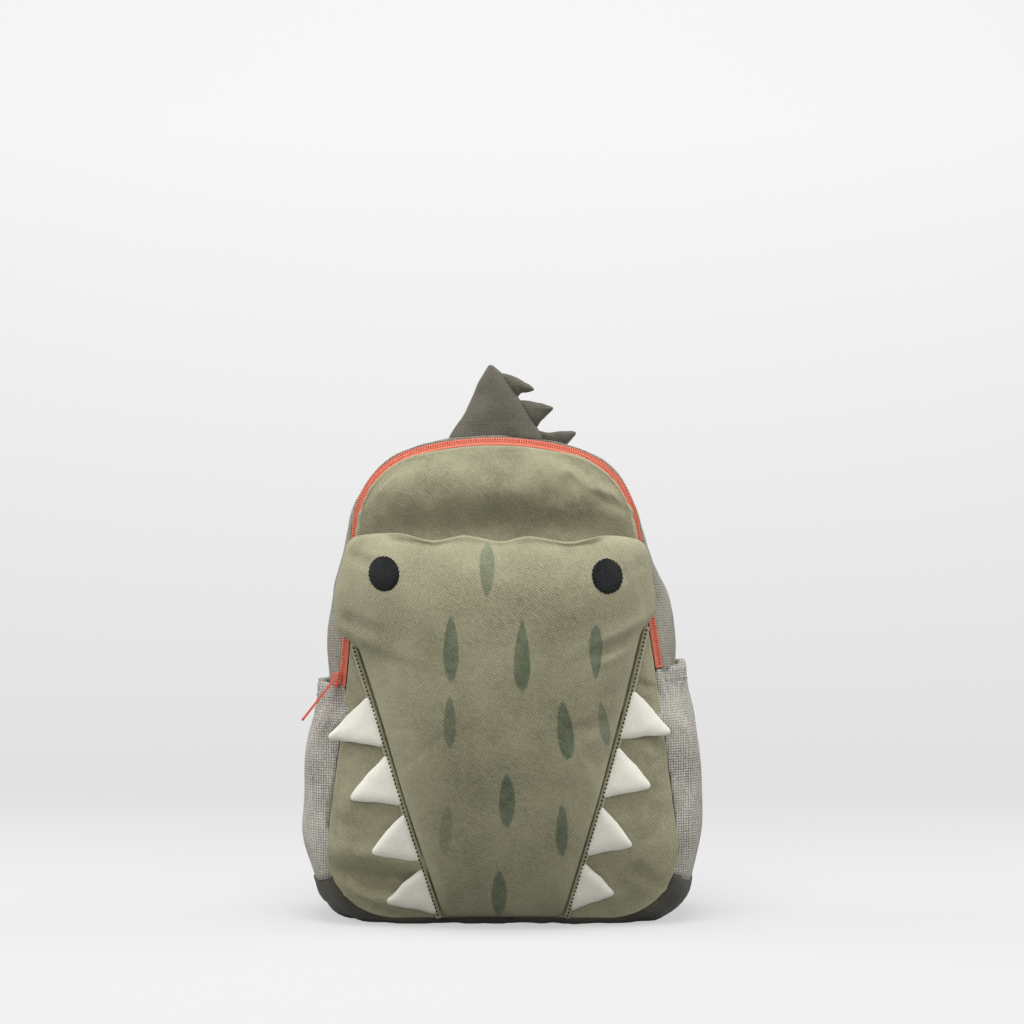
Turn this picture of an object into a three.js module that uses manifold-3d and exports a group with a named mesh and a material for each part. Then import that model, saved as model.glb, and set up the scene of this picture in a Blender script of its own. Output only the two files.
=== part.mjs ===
// A small child's backpack with a crocodile's face: padded shell, zip, snout, teeth, eyes, tail and straps.
// Millimetres. The face looks along -Y, +X is to the right of the face as seen, +Z is up.
// The origin is on the floor, under the middle of the base.
import * as THREE from "three";
import { mergeVertices } from "three/addons/utils/BufferGeometryUtils.js";
import Module from "manifold-3d";

// Shell: the front and back seams follow one outline, with a soft band between them
const SEAM_TOP = 296; // crown of the seams above the floor
const SEAM_BOTTOM = 6; // lowest line of the seams above the floor
const SHELL_DEPTH = 90; // from the front seam to the back seam, low down
const DEPTH_TAPER = 5; // how far the front seam leans back at the crown
const SHOULDER_HALF_WIDTH = 79.5;
const HIP_HALF_WIDTH = 113.5;
const CROWN_SLOPE = 15; // degrees that the crown falls by the shoulders
const CROWN_ROUND = 200;
const SHOULDER_ROUND = 52;
const HIP_ROUND = 43;
const LEAN = 5; // the empty upper part sags to the left of the face
const LEAN_FROM = 120; // height above which it leans

// Cloth and padding
const CLOTH_WALL = 2; // band and base
const POCKET_WALL = 1.6;
const PANEL_WALL = 6; // padded front
const PANEL_RIM = 3; // padding pressed flat at a seam
const BACK_PAD = 6;
const BACK_FLAT = 0.95; // share of the back that is flat, inside its rolled edge
const SNOUT_WALL = 5;
const SEAM_GAP = 0.5; // clearance between sewn neighbours
const REST_GAP = 0.7; // clearance between curved skins that lie on each other

// Front panel
const PANEL_CROWN = 20; // how far the middle stands before the seam
const PANEL_EDGE = 4; // roll of the padding beside the seam

// Side band and base
const SIDE_BULGE = 20; // most that the stuffed sides stand outside the seams
const BASE_WRAP = 32; // height on the seam where the dark base takes over from the band
const SIDE_FLAT = 0.15; // share of the depth that stays flat before it curves in to a seam

// Zip round the front seam
const ZIP_END = 138; // height of both ends
const ZIP_OUT = 5; // the tape's outer edge from the seam line, sideways
const ZIP_BACK = 7; // and behind it
const TAPE_THICK = 0.8;
const COIL_RADIUS = 1.1;
const ZIP_GAP = 0.35;
const SLIDER_HEIGHT = 151;
const SLIDER = { wide: 7, long: 10, thick: 1.2, bridge: 2, rise: 3.3, bar: 1 };
const PULL = { long: 33, wide: 5, thick: 1.4, pin: 0.6, eye: 5, lean: 38 };
const PULL_CLEARANCE = 0.35;

// Snout
const SNOUT_TOP = 241;
const SNOUT_HALF_WIDTH = 97;
const SNOUT_STAND = 27; // most that it stands before the front panel
const SNOUT_ROUND = 10; // rounding of its corners, of which each takes a share
const SNOUT_WAVE = 2; // height of the gathers along its top edge
const MOUTH_WIDTH = 136; // slot behind the top edge
const MOUTH_SLOT = 7; // from the front panel to the top edge's inside

// Seam bands, teeth and eyes
const BAND_WIDE = 3;
const BAND_START = 0.045; // share of the seam that the cheek covers
const BAND_THICK = 3.4;
const TOOTH_REACH = 38;
const TOOTH_THICK = 7;
const TOOTH_RIM = 1.6;
const TIP_ROUND = 1.8;
const TOOTH_LIFT = 1.5; // how far a tip stands off the panel
const EYE_WIDE = 19;
const EYE_TALL = 21;
const EYE_THICK = 1.4;
const EYE_HEIGHT = 217.5;

// Side pockets
const POCKET_STAND = 9; // most that the pocket stands outside the band
const POCKET_TOP = { left: 147, right: 158 };
const HEM_TALL = 6;
const HEM_EXTRA = 1.2; // thickness that the elastic adds
const GATHERS = 5;
const GATHER_DEEP = 0.9;

// Tail
const TAIL_TALL = 50;
const TAIL_HALF_WIDTH = 38;
const TAIL_HALF_THICK = 11;
const TAIL_FROM_BACK = 21; // its middle before the back seam
const SPIKE_THICK = 10;

// Back: straps, webbing, buckles and the hanging loop
const STRAP_WIDE = 42;
const STRAP_THICK = 8;
const STRAP_STAND = 36; // most that a strap stands off the back
const STRAP_DROP = 20; // from the crown down to the straps' roots
const STRAP_TOP_X = 30;
const STRAP_LOW = 122;
const STRAP_LOW_X = 54;
const WEBBING_WIDE = 20;
const WEBBING_THICK = 1.6;
const BUCKLE = { tall: 13, frame: 4, thick: 3.2, up: 0.8 };
const ANCHOR = { x: 80, z: 24, wide: 30, tall: 20, thick: 2.4 };
const LOOP_HALF_WIDTH = 15;
const LOOP_STAND = 16;
const LOOP_WIDE = 13;
const LOOP_THICK = 2;
const LOOP_DROP = 8; // from the crown down to the hanging loop

// How finely the skins are divided
const PANEL_SIDES = 48;
const PANEL_RINGS = 5;
const BAND_STEPS = 8;
const GUSSET_ROWS = 44;
const BASE_ROWS = 20;
const ZIP_ROWS = 38;
const POCKET_ROWS = 10;
const POCKET_COLUMNS = 15;
const SNOUT_RINGS = 6;
const ROUND_SIDES = 16; // of a tooth, a spike or the tail
const STRAP_STEPS = 14;
const WEBBING_STEPS = 12; // of the webbing and the hanging loop

// How far the side band stands outside the seams, by height: shares of SEAM_TOP and SIDE_BULGE
const BULGES = [
  { up: 0.02, out: 0.45 },
  { up: 0.05, out: 0.85 },
  { up: 0.08, out: 0.9 },
  { up: 0.13, out: 0.74 },
  { up: 0.2, out: 0.6 },
  { up: 0.42, out: 0.55 },
  { up: 0.5, out: 0.62 },
  { up: 0.58, out: 0.86 },
  { up: 0.67, out: 0.88 },
  { up: 0.76, out: 0.62 },
  { up: 0.85, out: 0.36 },
  { up: 0.93, out: 0.3 },
  { up: 1, out: 0.35 },
];

// Corners of the snout's outline, from the bottom left, anticlockwise as seen from the front. seam names the
// ends of the two seams that hold the teeth, and round is a share of SNOUT_ROUND
const SNOUT_CORNERS = [
  { seam: "left low", across: -0.376, up: 0.021, round: 0.6 },
  { seam: "right low", across: 0.383, up: 0.021, round: 0.6 },
  { seam: "right top", across: 0.912, up: 0.769, round: 1 },
  { seam: "", across: 0.99, up: 0.805, round: 1 },
  { seam: "", across: 0.975, up: 0.88, round: 3 },
  { seam: "", across: 0.945, up: 0.99, round: 1.8 },
  { seam: "", across: -0.895, up: 1, round: 2 },
  { seam: "", across: -1.02, up: 0.86, round: 3 },
  { seam: "", across: -1.03, up: 0.765, round: 1 },
  { seam: "left top", across: -0.918, up: 0.724, round: 1 },
];

// How far the snout stands before the panel at its middle, by height
const SNOUT_STANDS = [
  { up: 0.02, stand: 0.3 },
  { up: 0.2, stand: 0.5 },
  { up: 0.45, stand: 0.74 },
  { up: 0.7, stand: 0.94 },
  { up: 0.88, stand: 1 },
  { up: 1, stand: 0.8 },
];

// Teeth: from and to are shares of the seam's length, reach is a share of TOOTH_REACH, drop is the tip's
// place down the tooth
const TEETH = {
  left: [
    { from: 0.176, to: 0.371, reach: 1, drop: 0.887 },
    { from: 0.383, to: 0.581, reach: 0.934, drop: 0.927 },
    { from: 0.593, to: 0.786, reach: 0.85, drop: 0.87 },
    { from: 0.798, to: 0.99, reach: 0.866, drop: 0.75 },
  ],
  right: [
    { from: 0.2, to: 0.382, reach: 0.93, drop: 0.944 },
    { from: 0.394, to: 0.58, reach: 0.832, drop: 0.836 },
    { from: 0.592, to: 0.78, reach: 0.792, drop: 0.839 },
    { from: 0.792, to: 0.98, reach: 0.729, drop: 0.649 },
  ],
};

// Eyes: shares of SNOUT_HALF_WIDTH and a height beside EYE_HEIGHT
const EYES = [
  { name: "eye_left", across: -0.713, rise: 1 },
  { name: "eye_right", across: 0.689, rise: -0.5 },
];

// Gathers of the snout's top edge: shares of SNOUT_HALF_WIDTH and SNOUT_WAVE
const TOP_GATHERS = [
  { across: -1, rise: 0 },
  { across: -0.6, rise: 0.8 },
  { across: -0.4, rise: -0.7 },
  { across: -0.2, rise: 0.7 },
  { across: 0.03, rise: -0.6 },
  { across: 0.2, rise: 0.7 },
  { across: 0.47, rise: -0.7 },
  { across: 0.68, rise: 0.9 },
  { across: 1, rise: 0 },
];

// Soft dents: place, length and width as shares of HIP_HALF_WIDTH and SEAM_TOP, deep in millimetres,
// turn in degrees from level
const PANEL_DENTS = [
  { across: 0.12, up: 0.85, long: 0.5, wide: 0.045, deep: 5, turn: 2 },
  { across: 0.62, up: 0.93, long: 0.2, wide: 0.04, deep: 2.6, turn: -40 },
  { across: -0.66, up: 0.07, long: 0.22, wide: 0.05, deep: 3, turn: 12 },
  { across: 0.78, up: 0.35, long: 0.2, wide: 0.04, deep: 2.6, turn: -35 },
  { across: 0.7, up: 0.08, long: 0.18, wide: 0.045, deep: 2.6, turn: -20 },
];
const SNOUT_DENTS = [
  { across: 0.68, up: 0.65, long: 0.24, wide: 0.045, deep: 3, turn: 24 },
  { across: -0.62, up: 0.6, long: 0.2, wide: 0.05, deep: 2.6, turn: -30 },
  { across: 0.02, up: 0.77, long: 0.1, wide: 0.07, deep: 2, turn: 90 },
];

// How far a side pocket stands outside the band, from its bottom to its hem
const POCKET_STANDS = [
  { up: 0, stand: 0 },
  { up: 0.1, stand: 0.35 },
  { up: 0.3, stand: 0.7 },
  { up: 0.5, stand: 1 },
  { up: 0.7, stand: 1 },
  { up: 0.86, stand: 0.66 },
  { up: 1, stand: 0.36 },
];

// Sections of the stuffed tail: shares of TAIL_TALL, TAIL_HALF_WIDTH and TAIL_HALF_THICK
const TAIL_SECTIONS = [
  { up: 0, left: -0.84, right: 0.93, thick: 1 },
  { up: 0.23, left: -0.635, right: 0.68, thick: 0.94 },
  { up: 0.44, left: -0.48, right: 0.51, thick: 0.8 },
  { up: 0.64, left: -0.345, right: 0.36, thick: 0.62 },
  { up: 0.85, left: -0.22, right: 0.17, thick: 0.4 },
  { up: 1, left: -0.1, right: -0.04, thick: 0.08 },
];

// Spikes along the tail's right edge: from and to are heights of the root, foot is how far the root runs
// out along the crown, and tip is the point
const SPIKES = [
  { name: "tail_spike_1", from: 0.93, to: 0.61, foot: 0, tipAcross: 0.74, tipUp: 0.69 },
  { name: "tail_spike_2", from: 0.56, to: 0.21, foot: 0, tipAcross: 1.05, tipUp: 0.47 },
  { name: "tail_spike_3", from: 0.165, to: 0, foot: 1.17, tipAcross: 1.45, tipUp: 0.18 },
];

const CLOTH = { roughness: 0.9, metalness: 0 };
const twill = new THREE.MeshStandardMaterial({ color: 0x8b8a6d, ...CLOTH });
const greyCloth = new THREE.MeshStandardMaterial({ color: 0x8c8c80, ...CLOTH });
const darkCloth = new THREE.MeshStandardMaterial({ color: 0x55544c, ...CLOTH });
const checkCloth = new THREE.MeshStandardMaterial({ color: 0x8f8c82, ...CLOTH });
const tailCloth = new THREE.MeshStandardMaterial({ color: 0x6b675d, ...CLOTH });
const cream = new THREE.MeshStandardMaterial({ color: 0xdfddd0, ...CLOTH });
const blackThread = new THREE.MeshStandardMaterial({ color: 0x25262a, roughness: 0.6, metalness: 0 });
const oliveThread = new THREE.MeshStandardMaterial({ color: 0x4b4a38, ...CLOTH });
const coralZip = new THREE.MeshStandardMaterial({ color: 0xe06448, roughness: 0.6, metalness: 0 });
const coralMetal = new THREE.MeshStandardMaterial({ color: 0xd8543a, roughness: 0.4, metalness: 0.2 });
const webbingCloth = new THREE.MeshStandardMaterial({ color: 0x3c3c38, ...CLOTH });
const darkPlastic = new THREE.MeshStandardMaterial({ color: 0x2c2c2a, roughness: 0.5, metalness: 0 });

const { clamp, lerp, degToRad, smoothstep } = THREE.MathUtils;
const wasm = await Module();
wasm.setup();

// A value from a table's named column at a place between its rows, smooth across the rows
function readTable(rows, key, column, place) {
  const last = rows.length - 1;
  const at = clamp(place, rows[0][key], rows[last][key]);
  let row = 0;
  while (row < last - 1 && at > rows[row + 1][key]) row += 1;
  const slope = (i) => {
    const before = rows[Math.max(i - 1, 0)];
    const after = rows[Math.min(i + 1, last)];
    return (after[column] - before[column]) / (after[key] - before[key]);
  };
  const [low, high] = [rows[row], rows[row + 1]];
  const span = high[key] - low[key];
  const t = (at - low[key]) / span;
  const ease = t * t * (3 - 2 * t);
  const bend = t * (1 - t) * ((1 - t) * slope(row) - t * slope(row + 1)) * span;
  return lerp(low[column], high[column], ease) + bend;
}

// A closed path through listed corners, each rounded by its own radius as far as its sides allow
function roundedPath(corners) {
  const points = corners.map(({ x, z }) => new THREE.Vector2(x, z));
  const count = points.length;
  const side = (i) => points[(i + 1) % count].clone().sub(points[i % count]);
  const before = (i) => (i + count - 1) % count;
  const turns = points.map((_, i) => {
    const [into, out] = [side(before(i)), side(i)];
    return Math.atan2(into.cross(out), into.dot(out));
  });
  const reaches = corners.map(({ round }, i) => round * Math.tan(Math.abs(turns[i]) / 2));
  const fits = points.map((_, i) => Math.min(1, side(i).length() / (reaches[i] + reaches[(i + 1) % count] + 1e-6)));
  const path = new THREE.Path();
  points.forEach((point, i) => {
    const fit = Math.min(fits[i], fits[before(i)]);
    const radius = corners[i].round * fit;
    const into = side(before(i)).normalize();
    const start = point.clone().addScaledVector(into, -reaches[i] * fit);
    if (i === 0) path.moveTo(start.x, start.y);
    else path.lineTo(start.x, start.y);
    if (radius < 1e-3 || Math.abs(turns[i]) < 1e-3) return;
    const toCentre = new THREE.Vector2(-into.y, into.x).multiplyScalar(radius * Math.sign(turns[i]));
    const centre = start.clone().add(toCentre);
    const from = Math.atan2(start.y - centre.y, start.x - centre.x);
    path.absarc(centre.x, centre.y, radius, from, from + turns[i], turns[i] < 0);
  });
  path.closePath();
  return path;
}

// Points spaced evenly round a closed path, the first of them at a given share of it
function rimOf(path, count, from = 0) {
  return Array.from({ length: count }, (_, i) => path.getPoint((from + i / count) % 1));
}

// The share of a closed path at which it is furthest from a point, such as the tip of a tooth
function tipShare(path, point, samples = 400) {
  const shares = Array.from({ length: samples }, (_, i) => i / samples);
  const reach = (share) => path.getPoint(share).distanceTo(point);
  return shares.reduce((best, share) => (reach(share) > reach(best) ? share : best), 0);
}

// For a point beside a middle, its distance as a share of the path's distance in that direction
function shareWithin(path, middle, samples = 240) {
  const marks = rimOf(path, samples)
    .map((p) => ({ angle: Math.atan2(p.y - middle.y, p.x - middle.x), reach: p.distanceTo(middle) }))
    .sort((a, b) => a.angle - b.angle);
  return (x, z) => {
    const angle = Math.atan2(z - middle.y, x - middle.x);
    const found = marks.findIndex((m) => m.angle > angle);
    const high = marks[found < 0 ? 0 : found];
    const low = marks[(found <= 0 ? samples : found) - 1];
    const turn = 2 * Math.PI;
    const span = (high.angle - low.angle + turn) % turn || 1e-6;
    const reach = lerp(low.reach, high.reach, ((angle - low.angle + turn) % turn) / span);
    return Math.hypot(x - middle.x, z - middle.y) / reach;
  };
}

// How deep a table of soft dents presses a skin in at a place
function dentDepth(dents, x, z) {
  return dents.reduce((sum, dent) => {
    const turn = degToRad(dent.turn);
    const dx = x - dent.across * HIP_HALF_WIDTH;
    const dz = z - dent.up * SEAM_TOP;
    const along = (dx * Math.cos(turn) + dz * Math.sin(turn)) / (dent.long * HIP_HALF_WIDTH);
    const over = (dz * Math.cos(turn) - dx * Math.sin(turn)) / (dent.wide * SEAM_TOP);
    return sum + dent.deep * Math.exp(-along * along - over * over);
  }, 0);
}

// The sideways sag of the empty upper part at a height
const leanAt = (z) => -LEAN * smoothstep(z, LEAN_FROM, SEAM_TOP);

// A closed geometry from points and faces, turned so that its faces look outwards
function closedBody(points, faces) {
  const positions = points.flatMap((p) => [p.x, p.y, p.z]);
  const [a, b, c] = [new THREE.Vector3(), new THREE.Vector3(), new THREE.Vector3()];
  const volume = faces.reduce((sum, [i, j, k]) => {
    a.copy(points[i]);
    b.copy(points[j]);
    c.copy(points[k]);
    return sum + a.dot(b.cross(c));
  }, 0);
  const index = volume < 0 ? faces.flatMap(([i, j, k]) => [i, k, j]) : faces.flat();
  const geometry = new THREE.BufferGeometry();
  geometry.setAttribute("position", new THREE.Float32BufferAttribute(positions, 3));
  geometry.setIndex(index);
  geometry.computeVertexNormals();
  return geometry;
}

// Shares of the way out at which a dome's rings lie, closer together towards its edge
const domeShares = (rings) => Array.from({ length: rings }, (_, ring) => Math.cos((ring / rings) * (Math.PI / 2)));

// A front skin and a back skin over an outline, each of rings that shrink to a middle point
function cushion({ rim, backRim = rim, middle, shares, front, back }) {
  const count = rim.length;
  const rings = shares.length;
  const points = [];
  const faces = [];
  const skin = (outline, height, turned) => {
    const first = points.length;
    shares.forEach((share) => {
      outline.forEach((p) => {
        const x = lerp(middle.x, p.x, share);
        const z = lerp(middle.y, p.y, share);
        points.push(new THREE.Vector3(x, height(x, z, share), z));
      });
    });
    points.push(new THREE.Vector3(middle.x, height(middle.x, middle.y, 0), middle.y));
    const top = points.length - 1;
    const face = (i, j, k) => faces.push(turned ? [i, k, j] : [i, j, k]);
    for (let i = 0; i < count; i += 1) {
      const next = (i + 1) % count;
      for (let ring = 0; ring < rings - 1; ring += 1) {
        const [outer, inner] = [first + ring * count, first + (ring + 1) * count];
        face(outer + i, outer + next, inner + i);
        face(outer + next, inner + next, inner + i);
      }
      const inmost = first + (rings - 1) * count;
      face(inmost + i, inmost + next, top);
    }
    return first;
  };
  const frontRim = skin(rim, front, false);
  const rearRim = skin(backRim, back, true);
  for (let i = 0; i < count; i += 1) {
    const next = (i + 1) % count;
    faces.push([frontRim + i, rearRim + i, frontRim + next]);
    faces.push([frontRim + next, rearRim + i, rearRim + next]);
  }
  return closedBody(points, faces);
}

// A wall between an outer and an inner grid of points with the same rows and columns
function wall(outer, inner) {
  const rows = outer.length;
  const columns = outer[0].length;
  const points = [...outer.flat(), ...inner.flat()];
  const at = (skin, row, column) => (skin * rows + row) * columns + column;
  const faces = [];
  const quad = (a, b, c, d) => faces.push([a, b, c], [a, c, d]);
  for (let row = 0; row < rows - 1; row += 1) {
    for (let column = 0; column < columns - 1; column += 1) {
      quad(at(0, row, column), at(0, row, column + 1), at(0, row + 1, column + 1), at(0, row + 1, column));
      quad(at(1, row, column), at(1, row + 1, column), at(1, row + 1, column + 1), at(1, row, column + 1));
    }
    const last = columns - 1;
    quad(at(0, row, 0), at(0, row + 1, 0), at(1, row + 1, 0), at(1, row, 0));
    quad(at(0, row, last), at(1, row, last), at(1, row + 1, last), at(0, row + 1, last));
  }
  for (let column = 0; column < columns - 1; column += 1) {
    const last = rows - 1;
    quad(at(0, 0, column), at(1, 0, column), at(1, 0, column + 1), at(0, 0, column + 1));
    quad(at(0, last, column), at(0, last, column + 1), at(1, last, column + 1), at(1, last, column));
  }
  return closedBody(points, faces);
}

// A solid through closed sections with the same number of points, with a fan over each end
function loft(sections) {
  const sides = sections[0].length;
  const points = sections.flat();
  const faces = [];
  for (let row = 0; row < sections.length - 1; row += 1) {
    for (let i = 0; i < sides; i += 1) {
      const next = (i + 1) % sides;
      const [low, high] = [row * sides, (row + 1) * sides];
      faces.push([low + i, low + next, high + next], [low + i, high + next, high + i]);
    }
  }
  [0, sections.length - 1].forEach((row) => {
    const centre = sections[row].reduce((sum, p) => sum.add(p), new THREE.Vector3()).divideScalar(sides);
    points.push(centre);
    for (let i = 0; i < sides; i += 1) {
      const next = (i + 1) % sides;
      const fan = [row * sides + next, row * sides + i, points.length - 1];
      faces.push(row === 0 ? fan : fan.reverse());
    }
  });
  return closedBody(points, faces);
}

// A flat strip's section: half widths along its width and its thickness, with softened corners
function stripSection(wide, thick, soft = 0.3) {
  const [w, t] = [wide / 2, thick / 2];
  const cut = t * 2 * soft;
  return [
    [w - cut, -t], [w, -t + cut], [w, t - cut], [w - cut, t],
    [cut - w, t], [-w, t - cut], [-w, cut - t], [cut - w, -t],
  ];
}

// A strip along a curve in space, its width held as near as can be to a given direction
function strip(curve, steps, section, widthDirection) {
  const sections = Array.from({ length: steps + 1 }, (_, i) => {
    const along = curve.getTangentAt(i / steps);
    const place = curve.getPointAt(i / steps);
    const normal = along.clone().cross(widthDirection).normalize();
    const across = normal.clone().cross(along).normalize();
    return section.map(([w, t]) => place.clone().addScaledVector(across, w).addScaledVector(normal, t));
  });
  return loft(sections);
}

// Solids for the joins and cuts
function toSolid(geometry) {
  const bare = geometry.clone();
  bare.deleteAttribute("normal");
  bare.deleteAttribute("uv");
  const merged = mergeVertices(bare, 1e-4);
  return new wasm.Manifold(
    new wasm.Mesh({
      numProp: 3,
      vertProperties: merged.attributes.position.array,
      triVerts: new Uint32Array(merged.index.array),
    }),
  );
}

function fromSolid(solid) {
  const mesh = solid.getMesh();
  const geometry = new THREE.BufferGeometry();
  geometry.setAttribute("position", new THREE.BufferAttribute(new Float32Array(mesh.vertProperties), 3));
  geometry.setIndex(new THREE.BufferAttribute(new Uint32Array(mesh.triVerts), 1));
  geometry.computeVertexNormals();
  return geometry;
}

// The seam outline and its stations
const crownRise = CROWN_ROUND * (1 / Math.cos(degToRad(CROWN_SLOPE)) - 1);
const crownCorner = SEAM_TOP + crownRise;
const shoulderCorner = crownCorner - SHOULDER_HALF_WIDTH * Math.tan(degToRad(CROWN_SLOPE));
const seamPath = roundedPath([
  { x: 0, z: SEAM_BOTTOM, round: 0 },
  { x: HIP_HALF_WIDTH, z: SEAM_BOTTOM, round: HIP_ROUND },
  { x: SHOULDER_HALF_WIDTH, z: shoulderCorner, round: SHOULDER_ROUND },
  { x: 0, z: crownCorner, round: CROWN_ROUND },
  { x: -SHOULDER_HALF_WIDTH, z: shoulderCorner, round: SHOULDER_ROUND },
  { x: -HIP_HALF_WIDTH, z: SEAM_BOTTOM, round: HIP_ROUND },
]);
const panelMiddle = new THREE.Vector2(0, (SEAM_TOP + SEAM_BOTTOM) / 2);
const panelShare = shareWithin(seamPath, panelMiddle);

// Where the right half of the seam path passes a height, as a share of the whole path
function seamShareAt(z) {
  let [low, high] = [0.02, 0.5];
  for (let i = 0; i < 40; i += 1) {
    const middle = (low + high) / 2;
    if (seamPath.getPoint(middle).y < z) low = middle;
    else high = middle;
  }
  return (low + high) / 2;
}

function stationAt(share) {
  const around = ((share % 1) + 1) % 1;
  const point = seamPath.getPoint(around);
  const along = seamPath.getPoint((around + 0.002) % 1).sub(seamPath.getPoint((around + 0.998) % 1)).normalize();
  return { x: point.x, z: point.y, outX: along.y, outZ: -along.x };
}

function stations(from, to, steps) {
  return Array.from({ length: steps + 1 }, (_, i) => stationAt(lerp(from, to, i / steps)));
}

const frontSeamY = (z) => -SHELL_DEPTH / 2 + DEPTH_TAPER * smoothstep(z, 0, SEAM_TOP);
const backSeamY = SHELL_DEPTH / 2;

// Front of the padded panel
function panelY(x, z) {
  const share = Math.min(panelShare(x, z), 1);
  const crown = PANEL_CROWN * (1 - share ** 2.4) + PANEL_EDGE * (1 - share ** 10);
  const dent = dentDepth(PANEL_DENTS, x, z) * (1 - share ** 4);
  return frontSeamY(z) - PANEL_RIM - crown + dent;
}

// How full a soft span is between its two sewn edges, with a flat middle
function fullness(share, flat) {
  const out = Math.max(0, (Math.abs(2 * share - 1) - flat) / (1 - flat));
  return Math.sqrt(Math.max(0, 1 - out * out));
}

// The side band's outer skin at a station: how far outside the seam line, and where along Y
function bandPlace(station, share) {
  const zipped = smoothstep(station.z, ZIP_END - 12, ZIP_END);
  const edgeOut = SEAM_GAP + CLOTH_WALL;
  const frontOut = lerp(edgeOut, ZIP_OUT + SEAM_GAP + CLOTH_WALL, zipped);
  const frontY = frontSeamY(station.z) + SEAM_GAP + zipped * (ZIP_BACK + SEAM_GAP);
  const y = lerp(frontY, backSeamY - SEAM_GAP, share);
  const bulge = SIDE_BULGE * readTable(BULGES, "up", "out", station.z / SEAM_TOP);
  const edge = lerp(frontOut, edgeOut, share);
  return { out: edge + Math.max(0, bulge - edge) * fullness(share, SIDE_FLAT), y };
}

// A point outside the seam line, pressed flat where it would pass through the floor
function outside(station, out, y, floor) {
  return new THREE.Vector3(station.x + station.outX * out, y, Math.max(floor, station.z + station.outZ * out));
}

function bandWall(line) {
  const skin = (inset) =>
    line.map((station) =>
      Array.from({ length: BAND_STEPS + 1 }, (_, i) => {
        const { out, y } = bandPlace(station, i / BAND_STEPS);
        return outside(station, out - inset, y, inset);
      }),
    );
  return wall(skin(0), skin(CLOTH_WALL));
}

const wrapShare = seamShareAt(BASE_WRAP);
const wrapGap = SEAM_GAP / seamPath.getLength();

function gusset() {
  return bandWall(stations(wrapShare + wrapGap, 1 - wrapShare - wrapGap, GUSSET_ROWS));
}

function basePanel() {
  return bandWall(stations(-wrapShare, wrapShare, BASE_ROWS));
}

function frontPanel() {
  return cushion({
    rim: rimOf(seamPath, PANEL_SIDES),
    middle: panelMiddle,
    shares: domeShares(PANEL_RINGS),
    front: panelY,
    back: (x, z, share) => panelY(x, z) + lerp(PANEL_WALL, PANEL_RIM, share ** 4),
  });
}

const backFaceY = backSeamY + BACK_PAD;

function backPanel() {
  return cushion({
    rim: rimOf(seamPath, PANEL_SIDES),
    middle: panelMiddle,
    shares: [1, BACK_FLAT],
    front: () => backSeamY,
    back: (x, z, share) => (share === 1 ? backFaceY - BACK_PAD / 2 : backFaceY),
  });
}

// Zip: the tape slants back and out from the front seam, with the coil along its middle
function zipPlace(station, share, lift) {
  const slant = Math.hypot(ZIP_OUT, ZIP_BACK);
  const out = SEAM_GAP + ZIP_OUT * share + (lift * ZIP_BACK) / slant;
  const y = frontSeamY(station.z) + ZIP_BACK * share - (lift * ZIP_OUT) / slant;
  return new THREE.Vector3(station.x + station.outX * out, y, station.z + station.outZ * out);
}

const zipShare = seamShareAt(ZIP_END);
const zipLine = stations(zipShare, 1 - zipShare, ZIP_ROWS);
const coilLift = TAPE_THICK + ZIP_GAP + COIL_RADIUS;

function zipTape() {
  const skin = (lift) => zipLine.map((station) => [0.08, 0.5, 0.96].map((share) => zipPlace(station, share, lift)));
  return wall(skin(TAPE_THICK), skin(0));
}

function zipCoil() {
  const sides = 6;
  const slant = Math.hypot(ZIP_OUT, ZIP_BACK);
  return loft(
    zipLine.map((station) =>
      Array.from({ length: sides }, (_, i) => {
        const angle = ((i + 0.5) / sides) * 2 * Math.PI;
        const across = 0.5 + (COIL_RADIUS * Math.cos(angle)) / slant;
        return zipPlace(station, across, coilLift + COIL_RADIUS * Math.sin(angle));
      }),
    ),
  );
}

// Slider: a plate over the coil with a bridge, drawn with its plate facing -X and the zip running along Z
const hingeOut = SLIDER.thick + SLIDER.rise - SLIDER.bar - PULL_CLEARANCE - PULL.pin;

// Lays a drawing so that its x and y run along two given directions
function turned(geometry, x, y) {
  return geometry.applyMatrix4(new THREE.Matrix4().makeBasis(x, y, x.clone().cross(y)));
}

function block(wide, deep, tall, x, y, z) {
  return new THREE.BoxGeometry(wide, deep, tall).translate(x, y, z);
}

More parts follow.
